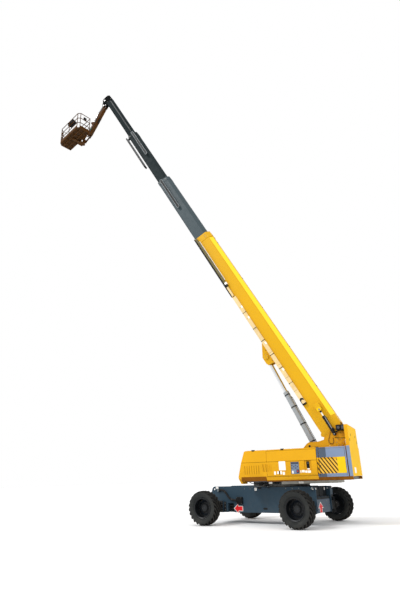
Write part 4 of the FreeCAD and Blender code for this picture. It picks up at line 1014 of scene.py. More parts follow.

# counterweight: chamfered rear cover in pale yellow for painted light on the rear face, lifting holes, lamps, blank
# plates
p = Shape(M_T)
p.use(Y_C)
ta = -2.473
p.prism([(-1.200, 1.512), (1.200, 1.512), (1.200, 2.452), (1.100, 2.488), (1.100, 3.075), (1.055, 3.142), (-1.055, 3.142), (-1.100, 3.075),
         (-1.100, 2.488), (-1.200, 2.452)], ta - 0.0008, ta + 0.003, "x")
p.prism(rrect(-0.86, 0.86, 1.66, 2.94, 0.06, 5), ta - 0.0022, ta + 0.002, "x")
p.done("rear_cover", "turntable", "machine_yellow", bevel=0.002, seg=1)
p = Shape(M_T)
p.use(BLACK_P)
for b in (-0.93, 0.93):
    p.prism(rrect(b - 0.05, b + 0.05, 2.60, 2.70, 0.02, 4), ta - 0.0022, ta + 0.002, "x")
for b in (-0.55, 0.55):
    p.prism(rrect(b - 0.05, b + 0.05, 2.78, 2.88, 0.05, 6), ta - 0.0024, ta + 0.002, "x")
p.use(WHITE)
p.prism(rrect(0.30, 0.72, 1.60, 1.78, 0.008, 2), ta - 0.0026, ta + 0.0025, "x")
p.use(BOLT)
for b in (-0.9, -0.45, 0.0, 0.45, 0.9):
    for z in (1.72, 2.88):
        p.cyl((ta + 0.01, b, z), (ta - 0.0, b, z), 0.020, 6)
p.done("rear_fittings", "turntable", "black_plastic")

# under the turret: apron below the tail, skirt's bolts, valve trough, drive motor, rigid pipes
p = Shape(M_T)
p.use(BEIGE)
outline = [(-0.86, 0.52), (-0.86, 0.905), (-1.62, 0.905), (-1.84, 0.74), (-1.90, 0.40), (-1.90, -0.40), (-1.84, -0.74), (-1.62, -0.905), (-0.86, -0.905),
           (-0.86, -0.52), (-0.55, -0.78), (-0.30, -0.86), (0.0, -0.88), (0.0, -0.90), (-0.42, -0.925), (-1.66, -0.925), (-1.875, -0.755), (-1.925, -0.41),
           (-1.925, 0.41), (-1.875, 0.755), (-1.66, 0.925), (-0.42, 0.925), (0.0, 0.90), (0.0, 0.88), (-0.30, 0.86), (-0.55, 0.78)]
p.prism(outline, 1.312, 1.3995, "z")
p.use(WHITE)
p.prism(rrect(-0.78, -0.60, 1.322, 1.392, 0.01, 2), 0.9, 0.931, "y")
p.prism(rrect(0.31, 0.43, 1.335, 1.392, 0.01, 2), 0.985, 1.0, "y")
p.use(STEEL_D)
p.box(0.30, 0.44, 0.96, 0.986, 1.33, 1.40)
p.done("tail_apron", "turntable", "dark_steel", bevel=0.003, seg=1)

p = Shape(M_T)
p.use(BLACK)
for a0, a1, b0, b1, z0, z1 in ((0.80, 0.93, 0.52, 0.60, 1.27, 1.38), (0.50, 0.66, 0.66, 0.78, 1.29, 1.39), (0.12, 0.27, 0.80, 0.90, 1.31, 1.395)):
    p.box(a0, a1, b0, b1, z0, z1)
    p.cyl((a0 + 0.03, b1, (z0 + z1) / 2), (a0 + 0.03, b1 + 0.03, (z0 + z1) / 2), 0.018, 14)
    p.cyl((a1 - 0.03, b1, (z0 + z1) / 2), (a1 - 0.03, b1 + 0.03, (z0 + z1) / 2), 0.018, 14)
p.pipe([(0.93, 0.56, 1.33), (1.05, 0.62, 1.33), (1.20, 0.62, 1.36), (1.27, 0.62, 1.39)], 0.014)
p.pipe([(0.66, 0.72, 1.34), (0.74, 0.66, 1.33), (0.80, 0.60, 1.33)], 0.013)
p.pipe([(0.27, 0.85, 1.35), (0.40, 0.82, 1.35), (0.50, 0.74, 1.34)], 0.013)
p.use(STEEL_D)
for k in range(14):
    a = 2 * pi * k / 14 + 0.1
    p.bolt((0.7605 * cos(a), 0.7605 * sin(a), 1.29), (cos(a), sin(a), 0), 0.011, 0.009)
p.lathe([(0.7605, 1.234), (0.772, 1.234), (0.772, 1.256), (0.7605, 1.256)], (0, 0, 0), "z", 72, close=True)
p.done("under_deck_fittings", "turntable", "dark_steel", bevel=0.003, seg=1)

# deck between the hoods: tread strips, swivel cover, manifold with rigid pipes
p = Shape(M_T)
p.use(DECK)
p.box(-0.58, -0.26, -0.60, 0.60, 1.4995, 1.506)
p.box(0.28, 1.31, -0.60, 0.60, 1.4995, 1.506)
p.use(STEEL_D)
p.lathe([(0.0, 1.50), (0.33, 1.50), (0.33, 1.52), (0.29, 1.525), (0.27, 1.62), (0.20, 1.65), (0.0, 1.655)], (0, 0, 0), "z", 40)
p.use(BLACK)
p.box(0.45, 0.85, -0.45, -0.20, 1.506, 1.70)
p.use(BOLT)
for i in range(5):
    p.cyl((0.49 + 0.08 * i, -0.32, 1.70), (0.49 + 0.08 * i, -0.32, 1.75), 0.022, 16)
p.use(BLACK)
for i in range(4):
    x = 0.50 + 0.09 * i
    p.pipe([(x, -0.20, 1.58 + 0.02 * i), (x, -0.05 + 0.03 * i, 1.58 + 0.02 * i), (0.20, -0.02 + 0.03 * i, 1.57), (0.12, -0.02 + 0.03 * i, 1.60)], 0.012)
p.use(Y_T)
for s in (1, -1):
    p.box(-0.60, 1.30, min(s * 0.606, s * 0.617), max(s * 0.606, s * 0.617), 1.506, 1.56)
p.done("deck_fittings", "turntable", "dark_steel", bevel=0.002, seg=1)

# tower plates: hole, slot, weld beads, pin keepers
TO = [(-2.36, 1.51), (-0.62, 1.51), (-0.62, 2.40), (-0.783, 2.487), (-0.929, 2.634), (-1.012, 2.673), (-1.347, 2.679), (-1.539, 2.729), (-1.568, 2.819),
      (-1.69, 2.90), (-1.755, 3.01), (-2.0, 3.215), (-2.36, 3.195)]
for side, mt in (("left", M_T), ("right", M_T @ MIR)):
    p = Shape(mt)
    p.use(Y_T)
    # edge bead along the plate's outline
    for a, b in zip(TO[1:], TO[2:] + TO[:1]):
        if a == TO[-1]:
            continue
        va, vb = Vector((a[0], 0.4701, a[1])), Vector((b[0], 0.4701, b[1]))
        d_ = (vb - va).normalized()
        n_ = Vector((-d_.z, 0, d_.x))
        q = [va, vb, vb + n_ * 0.014, va + n_ * 0.014]
        p.prism([(v.x, v.z) for v in q], 0.469, 0.4745, "y")
    p.lathe([(0.040, 0.469), (0.062, 0.469), (0.062, 0.478), (0.040, 0.478)], (-1.014, 0, 2.534), n=28, close=True)
    # keeper round the boom pin
    p.lathe([(0.072, 0.4695), (0.150, 0.4695), (0.150, 0.484), (0.140, 0.490), (0.072, 0.490)], (PIV.x, 0, PIV.z), n=40, close=True)
    p.lathe([(0.0, 0.4695), (0.112, 0.4695), (0.112, 0.482), (0.0, 0.482)], (-1.4, 0, 1.9), n=36)
    p.use(BLACK)
    p.cyl((-1.014, 0.469, 2.534), (-1.014, 0.4715, 2.534), 0.040, 26)
    p.prism(rrect(-1.32, -1.18, 2.478, 2.506, 0.013, 5), 0.469, 0.4725, "y")
    p.prism(rrect(-1.72, -1.58, 1.70, 2.30, 0.06, 6), 0.469, 0.4715, "y")
    p.use(BOLT)
    for k in range(6):
        a = 2 * pi * k / 6
        p.bolt((PIV.x + 0.122 * cos(a), 0.490, PIV.z + 0.122 * sin(a)), (0, 1, 0), 0.010, 0.009)
        p.bolt((-1.4 + 0.090 * cos(a), 0.482, 1.9 + 0.090 * sin(a)), (0, 1, 0), 0.008, 0.007)
    if side == "left":
        p.use(WHITE)
        p.prism(rrect(-2.335, -2.265, 2.545, 2.715, 0.008, 2), 0.469, 0.4725, "y")
        # painted highlight along the lower edge of the levelling cylinder's arm, its pin and round end
        p.use(Y_P)
        p.prism([(-2.36, 2.757), (-1.93, 2.787), (-1.90, 2.80), (-1.93, 2.797), (-2.36, 2.770)], 0.499, 0.5025, "y")
        # black strip on the plate below the arm: its painted shadow
        p.use(BLACK)
        p.prism([(-2.36, 2.735), (-1.93, 2.765), (-1.90, 2.785), (-1.93, 2.785), (-2.36, 2.756)], 0.4695, 0.4725, "y")
    p.done("tower_trim_" + side, "turntable", "machine_yellow", bevel=0.0015, seg=1)
p = Shape(M_T)
p.use(PIN)
p.cyl((-1.95, 0.531, 2.89), (-1.95, 0.656, 2.89), 0.0225, 28)
p.use(Y_T)
p.lathe([(0.024, 0.5305), (0.058, 0.5305), (0.058, 0.5345), (0.024, 0.5345)], (-1.95, 0, 2.89), n=32, close=True)
p.use(BLACK)
p.cyl((-1.95, 0.637, 2.89), (-1.95, 0.652, 2.89), 0.034, 6)
p.done("levelling_pin", "turntable", "pin_steel", bevel=0.001, seg=1)

# work lamp: finned housing with a deep blue lens on its left face
p = Shape(M_T)
p.use(BLACK_P)
p.prism([(-2.350, 3.015), (-2.320, 2.995), (-2.060, 2.995), (-2.035, 3.02), (-2.035, 3.160), (-2.060, 3.185), (-2.320, 3.185), (-2.350, 3.165)], 0.476, 0.700, "y")
p.prism(rrect(-2.345, -2.040, 3.002, 3.180, 0.03, 5), 0.700, 0.735, "y")
for i in range(9):
    b = 0.492 + 0.023 * i
    p.prism([(-2.352, 3.010), (-2.320, 2.991), (-2.060, 2.991), (-2.032, 3.018), (-2.032, 3.162), (-2.060, 3.189), (-2.320, 3.189), (-2.352, 3.167)], b, b + 0.007, "y")
p.lathe([(0.052, 0.735), (0.078, 0.735), (0.078, 0.752), (0.066, 0.757), (0.052, 0.752)], (-2.125, 0, 3.095), n=40, close=True)
p.use(LENS)
p.lathe([(0.054, 0.733), (0.053, 0.744), (0.036, 0.751), (0.0, 0.754)], (-2.125, 0, 3.095), n=36)
p.prism(rrect(-2.325, -2.225, 3.035, 3.150, 0.015, 4), 0.734, 0.745, "y")
p.use(BLACK)
p.box(-2.345, -2.30, 0.476, 0.50, 2.985, 3.0)
p.done("work_lamp_detail", "turntable", "black_plastic", bevel=0.0015, seg=1, replaces=("work_lamp",))
# small bracket below the lamp
p = Shape(M_T)
p.use(BLACK)
p.prism([(-2.06, 2.945), (-1.995, 2.945), (-1.975, 2.99), (-2.06, 3.0)], 0.4995, 0.530, "y")
p.use(WHITE)
p.prism(rrect(-1.735, -1.712, 2.505, 2.527, 0.008, 3), 0.469, 0.4735, "y")
p.done("tower_bracket", "turntable", "black_plastic", bevel=0.001, seg=1)

# engine block: heads, pulley, filter, pipes in the right hood
p = Shape(M_T)
p.use(IRON)
for i in range(4):
    p.box(-1.06 + 0.19 * i, -0.91 + 0.19 * i, -1.02, -0.78, 2.25, 2.30)
p.lathe([(0.0, 0.0), (0.12, 0.0), (0.12, 0.02), (0.10, 0.025), (0.10, 0.045), (0.12, 0.05), (0.12, 0.07), (0.0, 0.07)], (0.1505, -0.92, 1.86), "x", 32)
p.use(BLACK)
p.cyl((-0.75, -1.125, 1.70), (-0.75, -1.125, 1.95), 0.045, 24)
p.pipe([(-1.0, -0.69, 2.15), (-1.0, -0.66, 2.15), (-1.0, -0.66, 1.75), (-0.2, -0.66, 1.75)], 0.012)
p.done("engine_fittings", "turntable", "engine_iron", bevel=0.003, seg=1)

# ------------------------------------------------------------------ boom base section
for side, mb in (("left", M_B), ("right", M_B @ MIR)):
    p = Shape(mb)
    p.use(Y_B)
    # weld beads along the lower corner and the upper bevel, stiffening ridge, doubler at the heel
    p.sweep([(0.93, 0.3205, -0.372), (10.55, 0.3205, -0.372)], 0.006, 8)
    p.sweep([(0.93, 0.3205, 0.216), (10.55, 0.3205, 0.216)], 0.007, 8)
    p.sweep([(0.93, 0.1655, 0.3915), (10.55, 0.1655, 0.3915)], 0.006, 8)
    p.prism(rrect(0.95, 1.16, -0.36, 0.20, 0.03, 4), 0.3195, 0.3235, "y")
    p.prism([(7.83, -0.176), (10.50, -0.176), (10.50, -0.150), (7.83, -0.150)], 0.3195, 0.331, "y")
    p.lathe([(0.072, 0.3195), (0.150, 0.3195), (0.150, 0.327), (0.072, 0.327)], (0, 0, 0), n=40, close=True)
    # wear pad screws and adjusters on the collar
    for z in (-0.30, 0.12):
        p.prism(rrect(10.62, 10.82, z - 0.05, z + 0.05, 0.012, 3), 0.333, 0.342, "y")
    p.use(BOLT)
    for z in (-0.30, 0.12):
        for s_ in (10.65, 10.72, 10.79):
            p.bolt((s_, 0.342, z + 0.022), (0, 1, 0), 0.009, 0.007)
            p.bolt((s_, 0.342, z - 0.022), (0, 1, 0), 0.009, 0.007)
    p.use(PAD)
    for z0, z1 in ((-0.36, -0.20), (0.02, 0.18)):
        p.box(10.84, 10.905, 0.288, 0.312, z0, z1)
    p.use(BLACK)
    for s_ in (10.62, 10.31, 7.95, 6.22, 4.1, 2.2):
        p.prism(rrect(s_ - 0.022, s_ + 0.022, 0.120, 0.160, 0.006, 2), 0.3895 if s_ < 10.55 else 0.4035, 0.4035 if s_ < 10.55 else 0.416, "z")
    p.done("boom_trim_" + side, "boom", "machine_yellow", bevel=0.0012, seg=1)

# cross ribs underneath, lug's weld gussets
p = Shape(M_B)
p.use(Y_B)
for s in (1, -1):
    for s_ in (3.95, 4.45):
        y0, y1 = sorted((s * 0.151, s * 0.215))
        p.prism([(y0, -0.41), (y1, -0.41), ((y0 + 0.02) if s < 0 else y1 - 0.045, -0.49), (y0 if s > 0 else y1, -0.49)], s_, s_ + 0.012, "x")
    y0, y1 = sorted((s * 0.109, s * 0.176))
p.prism([(3.90, -0.4095), (3.90, -0.418), (4.80, -0.418), (4.80, -0.4095)], -0.22, 0.22, "y")
for s_ in (1.8, 2.6, 5.6, 6.6, 7.6, 8.6, 9.6):
    p.prism([(s_, -0.4095), (s_, -0.417), (s_ + 0.09, -0.417), (s_ + 0.09, -0.4095)], -0.26, 0.26, "y")
p.lathe([(0.083, -0.1765), (0.110, -0.1765), (0.110, -0.187), (0.0, -0.187)], (4.2, 0, -0.6), n=32)
p.lathe([(0.0, 0.187), (0.110, 0.187), (0.110, 0.1765), (0.083, 0.1765)], (4.2, 0, -0.6), n=32)
p.use(BOLT)
for k in range(4):
    a = 2 * pi * k / 4 + 0.4
    for s in (1, -1):
        p.bolt((4.2 + 0.075 * cos(a), s * 0.187, -0.6 + 0.075 * sin(a)), (0, s, 0), 0.010, 0.008)
p.done("boom_underside", "boom", "machine_yellow", bevel=0.0015, seg=1)

# cable duct: channel with a ribbed lid, white blocks, dark clips, bracket at the lower end
p = Shape(M_B)
p.use(CREAM)
sec = [(0.321, -0.398), (0.405, -0.398), (0.413, -0.388), (0.413, -0.252), (0.405, -0.240), (0.321, -0.240), (0.321, -0.246), (0.398, -0.246),
       (0.405, -0.256), (0.405, -0.382), (0.398, -0.391), (0.321, -0.391)]
n_seg = 9
L0, L1 = 1.755, 7.145
for i in range(n_seg):
    a, b = L0 + (L1 - L0) * i / n_seg + 0.004, L0 + (L1 - L0) * (i + 1) / n_seg - 0.004
    p.prism(sec, a, b, "x")
    p.prism(rrect(a + 0.03, b - 0.03, -0.362, -0.278, 0.012, 3), 0.411, 0.4145, "y")
p.use(WHITE)
for s_ in (6.544, 5.957, 4.6, 3.3):
    p.prism(rrect(s_ - 0.055, s_ + 0.055, -0.305, -0.238, 0.010, 2), 0.3205, 0.4148, "y")
p.use(BLACK_P)
for s_ in (6.25, 5.4, 4.75, 4.05, 3.4, 2.7):
    p.prism([(0.3205, -0.3995), (0.408, -0.3995), (0.4145, -0.392), (0.4145, -0.246), (0.408, -0.2365), (0.3205, -0.2365)], s_ - 0.016, s_ + 0.016, "x")
p.use(BLACK)
p.prism([(1.76, -0.398), (1.98, -0.398), (2.03, -0.33), (1.98, -0.24), (1.90, -0.24), (1.945, -0.32), (1.90, -0.372), (1.76, -0.372)], 0.4135, 0.4148, "y")
p.box(1.7505, 1.80, 0.321, 0.4148, -0.399, -0.236)
p.use(STEEL_D)
for i in range(4):
    z = -0.375 + 0.032 * i
    p.sweep([(1.76, 0.36, z), (7.14, 0.36, z)], 0.010, 8)
p.done("cable_duct_detail", "boom", "duct_cream", bevel=0.0012, seg=1, replaces=("cable_duct",))

# cable chain in its tray: links in dull olive, khaki and brown, dark between; pale strip above; end brackets
p = Shape(M_B)
C0, C1, NL = 7.99, 10.83, 40
lw = (C1 - C0) / NL
cols = (OLIVE, KHAKI, OLIVE, TAN, KHAKI, OLIVE, TAN, OLIVE)
for i in range(NL):
    a = C0 + i * lw
    p.use(cols[(i * 5 + i // 3) % len(cols)])
    p.prism(rrect(a + 0.006, a + lw - 0.012, -0.358, -0.262, 0.018, 3), 0.425, 0.4425, "y")
    p.prism(rrect(a + 0.006, a + lw - 0.012, -0.358, -0.262, 0.018, 3), 0.340, 0.352, "y")
    p.box(a + 0.012, a + lw - 0.02, 0.352, 0.425, -0.275, -0.264)
    p.box(a + 0.012, a + lw - 0.02, 0.352, 0.425, -0.356, -0.346)
    p.use(BLACK)
    p.box(a + lw - 0.014, a + lw + 0.008, 0.345, 0.436, -0.348, -0.272)
p.use(BLACK)
p.box(7.21, 10.855, 0.3365, 0.444, -0.4195, -0.410)
p.box(7.21, 10.855, 0.3365, 0.340, -0.410, -0.355)
p.box(7.21, 10.855, 0.440, 0.4445, -0.410, -0.372)
for s_ in (7.40, 8.2, 9.0, 9.8, 10.6):
    p.box(s_, s_ + 0.05, 0.3195, 0.4448, -0.4198, -0.400)
p.use(WHITE)
p.box(8.146, 10.65, 0.3215, 0.345, -0.258, -0.228)
p.prism(rrect(7.865, 7.975, -0.345, -0.235, 0.012, 3), 0.337, 0.4435, "y")
p.use(BLACK)
p.prism([(7.72, -0.408), (7.86, -0.408), (7.86, -0.255), (7.80, -0.255), (7.72, -0.33)], 0.337, 0.4445, "y")
p.use(CREAM)
p.box(7.21, 7.72, 0.345, 0.436, -0.395, -0.285)
p.done("cable_chain_detail", "boom", "black_plastic", bevel=0.0012, seg=1, replaces=("cable_chain",))

# painted highlight: paler yellow on the leaning faces along the top of the boom
p = Shape(M_B)
p.use(Y_BEV)
for s in (1, -1):
    p.prism([(s * 0.3185, 0.2187), (s * 0.1675, 0.3892), (s * 0.1687, 0.3903), (s * 0.3197, 0.2198)], 0.94, 10.52, "x")
p.done("boom_bevel_skin", "boom", "machine_yellow", bevel=0)

# ------------------------------------------------------------------ fly sections
FLYS = (("fly_1", FLY, 0.282, (-0.378, 0.145, 0.290), 0.145, 10.95, 15.35, "fly_grey"),
        ("fly_2", FLY2, 0.246, (-0.348, 0.070, 0.195), 0.125, 15.40, 19.70, "fly_grey"),
        ("fly_3", FLY3, 0.212, (-0.320, 0.0, 0.105), 0.108, 19.75, 23.38, "fly_grey"))
for body, mat_, w, z, tw, s0, s1, slot_ in FLYS:
    p = Shape(M_B)
    p.use(mat_)
    for s in (1, -1):
        p.sweep([(s0, s * (w + 0.0003), z[0] + 0.034), (s1 - 0.23, s * (w + 0.0003), z[0] + 0.034)], 0.0035, 8)
        p.sweep([(s0, s * (w + 0.0003), z[1] - 0.002), (s1 - 0.23, s * (w + 0.0003), z[1] - 0.002)], 0.004, 8)
        p.sweep([(s0, s * (tw + 0.0003), z[2] + 0.0005), (s1 - 0.23, s * (tw + 0.0003), z[2] + 0.0005)], 0.0035, 8)
    if body != "fly_3":
        c_ = 0.010 if body == "fly_1" else 0.009
        for s in (1, -1):
            for zz in (z[0] + 0.09, z[1] - 0.075):
                y0, y1 = sorted((s * (w + c_ - 0.001), s * (w + c_ + 0.009)))
                p.use(mat_)
                p.prism(rrect(s1 - 0.175, s1 - 0.045, zz - 0.04, zz + 0.04, 0.010, 3), y0, y1, "y")
                p.use(BOLT)
                for dx in (-0.145, -0.075):
                    p.bolt((s1 + dx, s * (w + c_ + 0.009), zz + 0.02), (0, s, 0), 0.008, 0.006)
                    p.bolt((s1 + dx, s * (w + c_ + 0.009), zz - 0.02), (0, s, 0), 0.008, 0.006)
        p.use(mat_)
        for s in (1, -1):
            y0, y1 = sorted((s * (w + c_ - 0.0005), s * (w + c_ + 0.0015)))
            p.prism([(s1 - 0.035, z[0]), (s1 - 0.004, z[0]), (s1 - 0.004, z[1]), (s1 - 0.035, z[1])], y0, y1, "y")
    else:
        # black band along each side below the bevel
        p.use(BLACK)
        for s in (1, -1):
            y0, y1 = sorted((s * (w - 0.001), s * (w + 0.0025)))
            p.prism([(20.0, -0.062), (23.32, -0.062), (23.32, -0.010), (20.0, -0.010)], y0, y1, "y")
        p.use(FLY)
        for s in (1, -1):
            y0, y1 = sorted((s * (w - 0.001), s * (w + 0.002)))
            p.prism([(20.2, -0.070), (23.30, -0.070), (23.30, -0.064), (20.2, -0.064)], y0, y1, "y")
    p.done("section_trim_" + body, body, slot_)


def stadium(s0, s1, z0, z1, n=8):
    r = (z1 - z0) / 2
    return arc(s1 - r, z0 + r, r, -90, 90, n) + arc(s0 + r, z0 + r, r, 90, 270, n)


def slot_tray(p, s0, s1, y0, y1, z0, z1, fy0, fz0, fz1, back=True):
    """Black hose tray with a pale rolled rim and a rounded lower end."""
    p.use(BLACK)
    o_ = stadium(s0, s1, z0, z1)
    i_ = stadium(s0 + 0.014, s1 - 0.014, z0 + 0.014, z1 - 0.014)
    p.prism(o_, y1 - 0.020, y1 - 0.009, "y")
    p.box(s0 + 0.06, s1 - 0.04, y0, y1 - 0.01, z0, z0 + 0.008)
    p.box(s0 + 0.06, s1 - 0.04, y0, y1 - 0.01, z1 - 0.008, z1)
    p.box(s1 - 0.09, s1, fy0 + 0.0003, y0 + 0.01, fz0, fz1)
    # rim
    p.use(PALE)
    for k in range(len(o_)):
        a, b = o_[k], o_[(k + 1) % len(o_)]
        c_, d_ = i_[(k + 1) % len(i_)], i_[k]
        v = [p.bm.verts.new((q[0], y, q[1])) for y in (y1 - 0.010, y1 - 0.001) for q in (a, b, c_, d_)]
        for f in ((0, 1, 2, 3), (4, 5, 6, 7), (0, 1, 5, 4), (1, 2, 6, 5), (2, 3, 7, 6), (3, 0, 4, 7)):
            p.face([v[j] for j in f])
    # pipes inside, seen at the open upper end, and clamps
    p.use(STEEL_D)
    m_ = (z0 + z1) / 2
    for dz in (-0.036, -0.012, 0.012, 0.036):
        p.sweep([(s0 + 0.05, y1 - 0.032, m_ + dz), (s1 - 0.02, y1 - 0.032, m_ + dz)], 0.009, 8)
    p.use(BLACK_P)
    n = max(2, int((s1 - s0) / 0.55))
    for k in range(n):
        s_ = s0 + 0.22 + (s1 - s0 - 0.44) * k / (n - 1)
        p.prism(rrect(s_ - 0.012, s_ + 0.012, z0 + 0.02, z1 - 0.02, 0.004, 2), y1 - 0.010, y1 - 0.007, "y")


p = Shape(M_B)
slot_tray(p, 13.062, 15.328, 0.346, 0.402, -0.232, -0.092, 0.292, -0.215, -0.110)
p.use(BLACK)
p.done("hose_tray_1", "fly_1", "black_paint", bevel=0.001, seg=1, replaces=("fly_tray_1",))
p = Shape(M_B)
slot_tray(p, 17.482, 19.678, 0.346, 0.402, -0.076, 0.062, 0.255, -0.060, 0.040)
p.use(BLACK)
p.box(16.952, 19.638, 0.062, 0.298, -0.5305, -0.524)
p.box(16.952, 19.638, 0.062, 0.068, -0.5305, -0.442)
p.box(16.952, 19.638, 0.292, 0.298, -0.5305, -0.442)
p.box(19.552, 19.638, 0.102, 0.198, -0.5305, -0.3575)
for s_ in (17.0, 17.6, 18.2, 18.8, 19.4):
    p.box(s_, s_ + 0.03, 0.061, 0.299, -0.5315, -0.5295)
p.use(PALE)
p.box(17.1, 19.62, 0.2985, 0.3, -0.452, -0.444)
p.use(STEEL_D)
for k in range(6):
    y = 0.092 + 0.035 * k
    p.sweep([(16.97, y, -0.508), (19.60, y, -0.508)], 0.012, 8)
p.done("hose_tray_2", "fly_2", "black_paint", bevel=0.001, seg=1, replaces=("fly_tray_2",))

# nose: black cheek covers, bolts
p = Shape(M_B)
for s in (1, -1):
    y0, y1 = sorted((s * 0.2055, s * 0.2125))
    p.use(HEAD_B)
    p.prism([(23.44, -0.30), (23.44, 0.085), (23.80, 0.085), (23.93, -0.03), (23.93, -0.29), (23.84, -0.44), (23.68, -0.44), (23.56, -0.30)], y0, y1, "y")
    p.use(PIN)
    p.use(BOLT)
    for q in ((23.50, 0.04), (23.50, -0.24), (23.78, 0.04), (23.88, -0.06), (23.88, -0.26)):
        p.bolt((q[0], y1 if s > 0 else y0, q[1]), (0, s, 0), 0.010, 0.008)
p.use(HEAD_B)
p.prism([(23.40, 0.098), (23.82, 0.098), (23.946, -0.022), (23.946, -0.28), (23.935, -0.28), (23.935, -0.028), (23.812, 0.088), (23.40, 0.088)], -0.165, 0.165, "y")
p.box(23.38, 23.46, -0.165, 0.165, 0.06, 0.098)
p.done("nose_covers", "fly_3", "fly_grey", bevel=0.002, seg=1)
p = Shape(M_B)
for s in (1, -1):
    p.use(BLACK)
    y0, y1 = sorted((s * 0.2135, s * 0.2215))
    p.lathe([(0.047, y0), (0.085, y0), (0.085, y1), (0.047, y1)], (23.74, 0, -0.33), n=32, close=True)
p.done("nose_pin_keepers", "fly_3", "pin_steel", bevel=0.001, seg=1)

# ------------------------------------------------------------------ cylinders
p = Shape(M_L)
p.use(BLACK)
p.lathe([(0.0785, 2.935), (0.100, 2.935), (0.103, 2.952), (0.0785, 2.957)], (0, 0, 0), "x", 40, close=True)
p.lathe([(0.108, 2.79), (0.1155, 2.795), (0.1155, 2.83), (0.108, 2.835)], (0, 0, 0), "x", 40, close=True)
p.box(0.24, 0.40, -0.045, 0.045, 0.100, 0.165)
p.use(STEEL_D)
p.pipe([(0.34, 0.0, 0.160), (0.34, 0.0, 0.142), (0.60, 0.0, 0.128), (2.60, 0.0, 0.128), (2.70, 0.0, 0.112)], 0.011)
p.use(BLACK)
for x in (0.9, 1.6, 2.3):
    p.lathe([(0.1075, x - 0.02), (0.113, x - 0.02), (0.113, x + 0.02), (0.1075, x + 0.02)], (0, 0, 0), "x", 36, close=True)
    p.box(x - 0.018, x + 0.018, -0.02, 0.02, 0.110, 0.142)
p.done("lift_cylinder_fittings", "lift_barrel", "cylinder_grey", bevel=0.0015, seg=1)
p = Shape(M_M)
p.use(BLACK)
p.lathe([(0.0265, 0.695), (0.050, 0.695), (0.052, 0.706), (0.0265, 0.709)], (0, 0, 0), "x", 32, close=True)
# pale bar along the barrel: painted highlight on the glossy black barrel
p.use(SHEEN)
p.sweep([(0.20, 0.0475, 0.0290), (0.665, 0.0475, 0.0290)], 0.0115, 10)
p.use(BLACK)
p.box(0.10, 0.19, -0.024, 0.024, 0.052, 0.086)
p.pipe([(0.145, 0.0, 0.084), (0.19, 0.0, 0.080), (0.50, 0.0, 0.072), (0.62, 0.0, 0.066)], 0.007)
p.done("levelling_barrel_fittings", "levelling_barrel", "black_paint", bevel=0.001, seg=1)
p = Shape(M_M)
p.use(BLACK)
# hook-shaped cap round the rod's eye
x = MAST_L
p.lathe([(0.0462, -0.034), (0.054, -0.034), (0.054, 0.034), (0.0462, 0.034)], (x, 0, 0), "y", 36, close=True)
p.cyl((x - 0.115, 0, 0), (x - 0.048, 0, 0), 0.036, 24, 0.042)
p.done("levelling_rod_cap", "levelling_piston", "black_paint", bevel=0.001, seg=1)
p = Shape(M_B)
p.use(Y_P)
p.prism(rrect(1.23, 1.345, -0.045, 0.125, 0.03, 5), 0.6505, 0.6545, "y")
p.use(PIN)
p.cyl((1.27, 0.6505, 0.04), (1.27, 0.664, 0.04), 0.030, 26)
p.done("levelling_lug_pad", "boom", "machine_yellow", bevel=0.001, seg=1)
p = Shape(M_JC)
p.use(BLACK)
p.lathe([(0.0245, 0.793), (0.043, 0.793), (0.043, 0.805), (0.0245, 0.807)], (0, 0, 0), "x", 28, close=True)
p.use(STEEL_D)
p.pipe([(0.10, 0.0, 0.050), (0.12, 0.0, 0.056), (0.60, 0.0, 0.056), (0.66, 0.0, 0.050)], 0.006)
p.done("jib_cylinder_fittings", "jib_barrel", "cylinder_grey")

# ------------------------------------------------------------------ jib head, jib
p = Shape(M_H)
p.use(BLACK)
for s in (1, -1):
    y0, y1 = sorted((s * 0.1585, s * 0.1635))
    p.lathe([(0.0415, y0), (0.066, y0), (0.066, y1), (0.0415, y1)], (0.11, 0, -0.29), n=32, close=True)
p.use(BOLT)
for s in (1, -1):
    for q in ((0.14, -0.345), (0.075, -0.335)):
        p.bolt((q[0], s * 0.158, q[1]), (0, s, 0), 0.008, 0.006)
p.done("jib_head_keepers", "head", "machine_yellow")

p = Shape(M_J)
p.use(Y_J)
for s in (1, -1):
    p.sweep([(0.80, s * 0.1105, -0.119), (2.0, s * 0.1105, -0.119)], 0.004, 8)
    y0, y1 = sorted((s * 0.1005, s * 0.1055))
    p.lathe([(0.0365, y0), (0.062, y0), (0.062, y1), (0.0365, y1)], (JIB_LEN, 0, 0), n=32, close=True)
# brown side plates: the jib's sides in painted shade
p.use(BROWN)
for s in (1, -1):
    y0, y1 = sorted((s * 0.1095, s * 0.1125))
    p.prism([(0.80, -0.105), (1.98, -0.105), (1.98, 0.085), (1.48, 0.085), (1.37, 0.040), (0.80, 0.040)], y0, y1, "y")
p.use(BLACK)
# pipes along the jib's sides with clamps
for s in (1, -1):
    for k in range(3):
        z = -0.070 + 0.030 * k
        p.sweep([(0.79, s * 0.122, z), (1.95, s * 0.122, z)], 0.0095, 10)
    for x in (0.86, 1.18, 1.50, 1.82):
        y0, y1 = sorted((s * 0.1105, s * 0.135))
        p.prism(rrect(x - 0.016, x + 0.016, -0.088, 0.008, 0.006, 2), y0, y1, "y")
p.use(GREEN)
p.prism(rrect(1.62, 1.76, -0.075, 0.055, 0.012, 3), 0.1115, 0.175, "y")
p.use(SPOT_R)
p.cyl((1.55, 0.111, 0.03), (1.55, 0.145, 0.03), 0.030, 20)
p.use(BLACK)
p.box(0.86, 1.15, -0.05, 0.05, -0.160, -0.126)
for x in (0.90, 1.0, 1.10):
    p.cyl((x, 0.0, -0.150), (x, 0.0, -0.178), 0.016, 14)
p.done("jib_fittings", "jib", "machine_yellow", bevel=0.0012, seg=1)

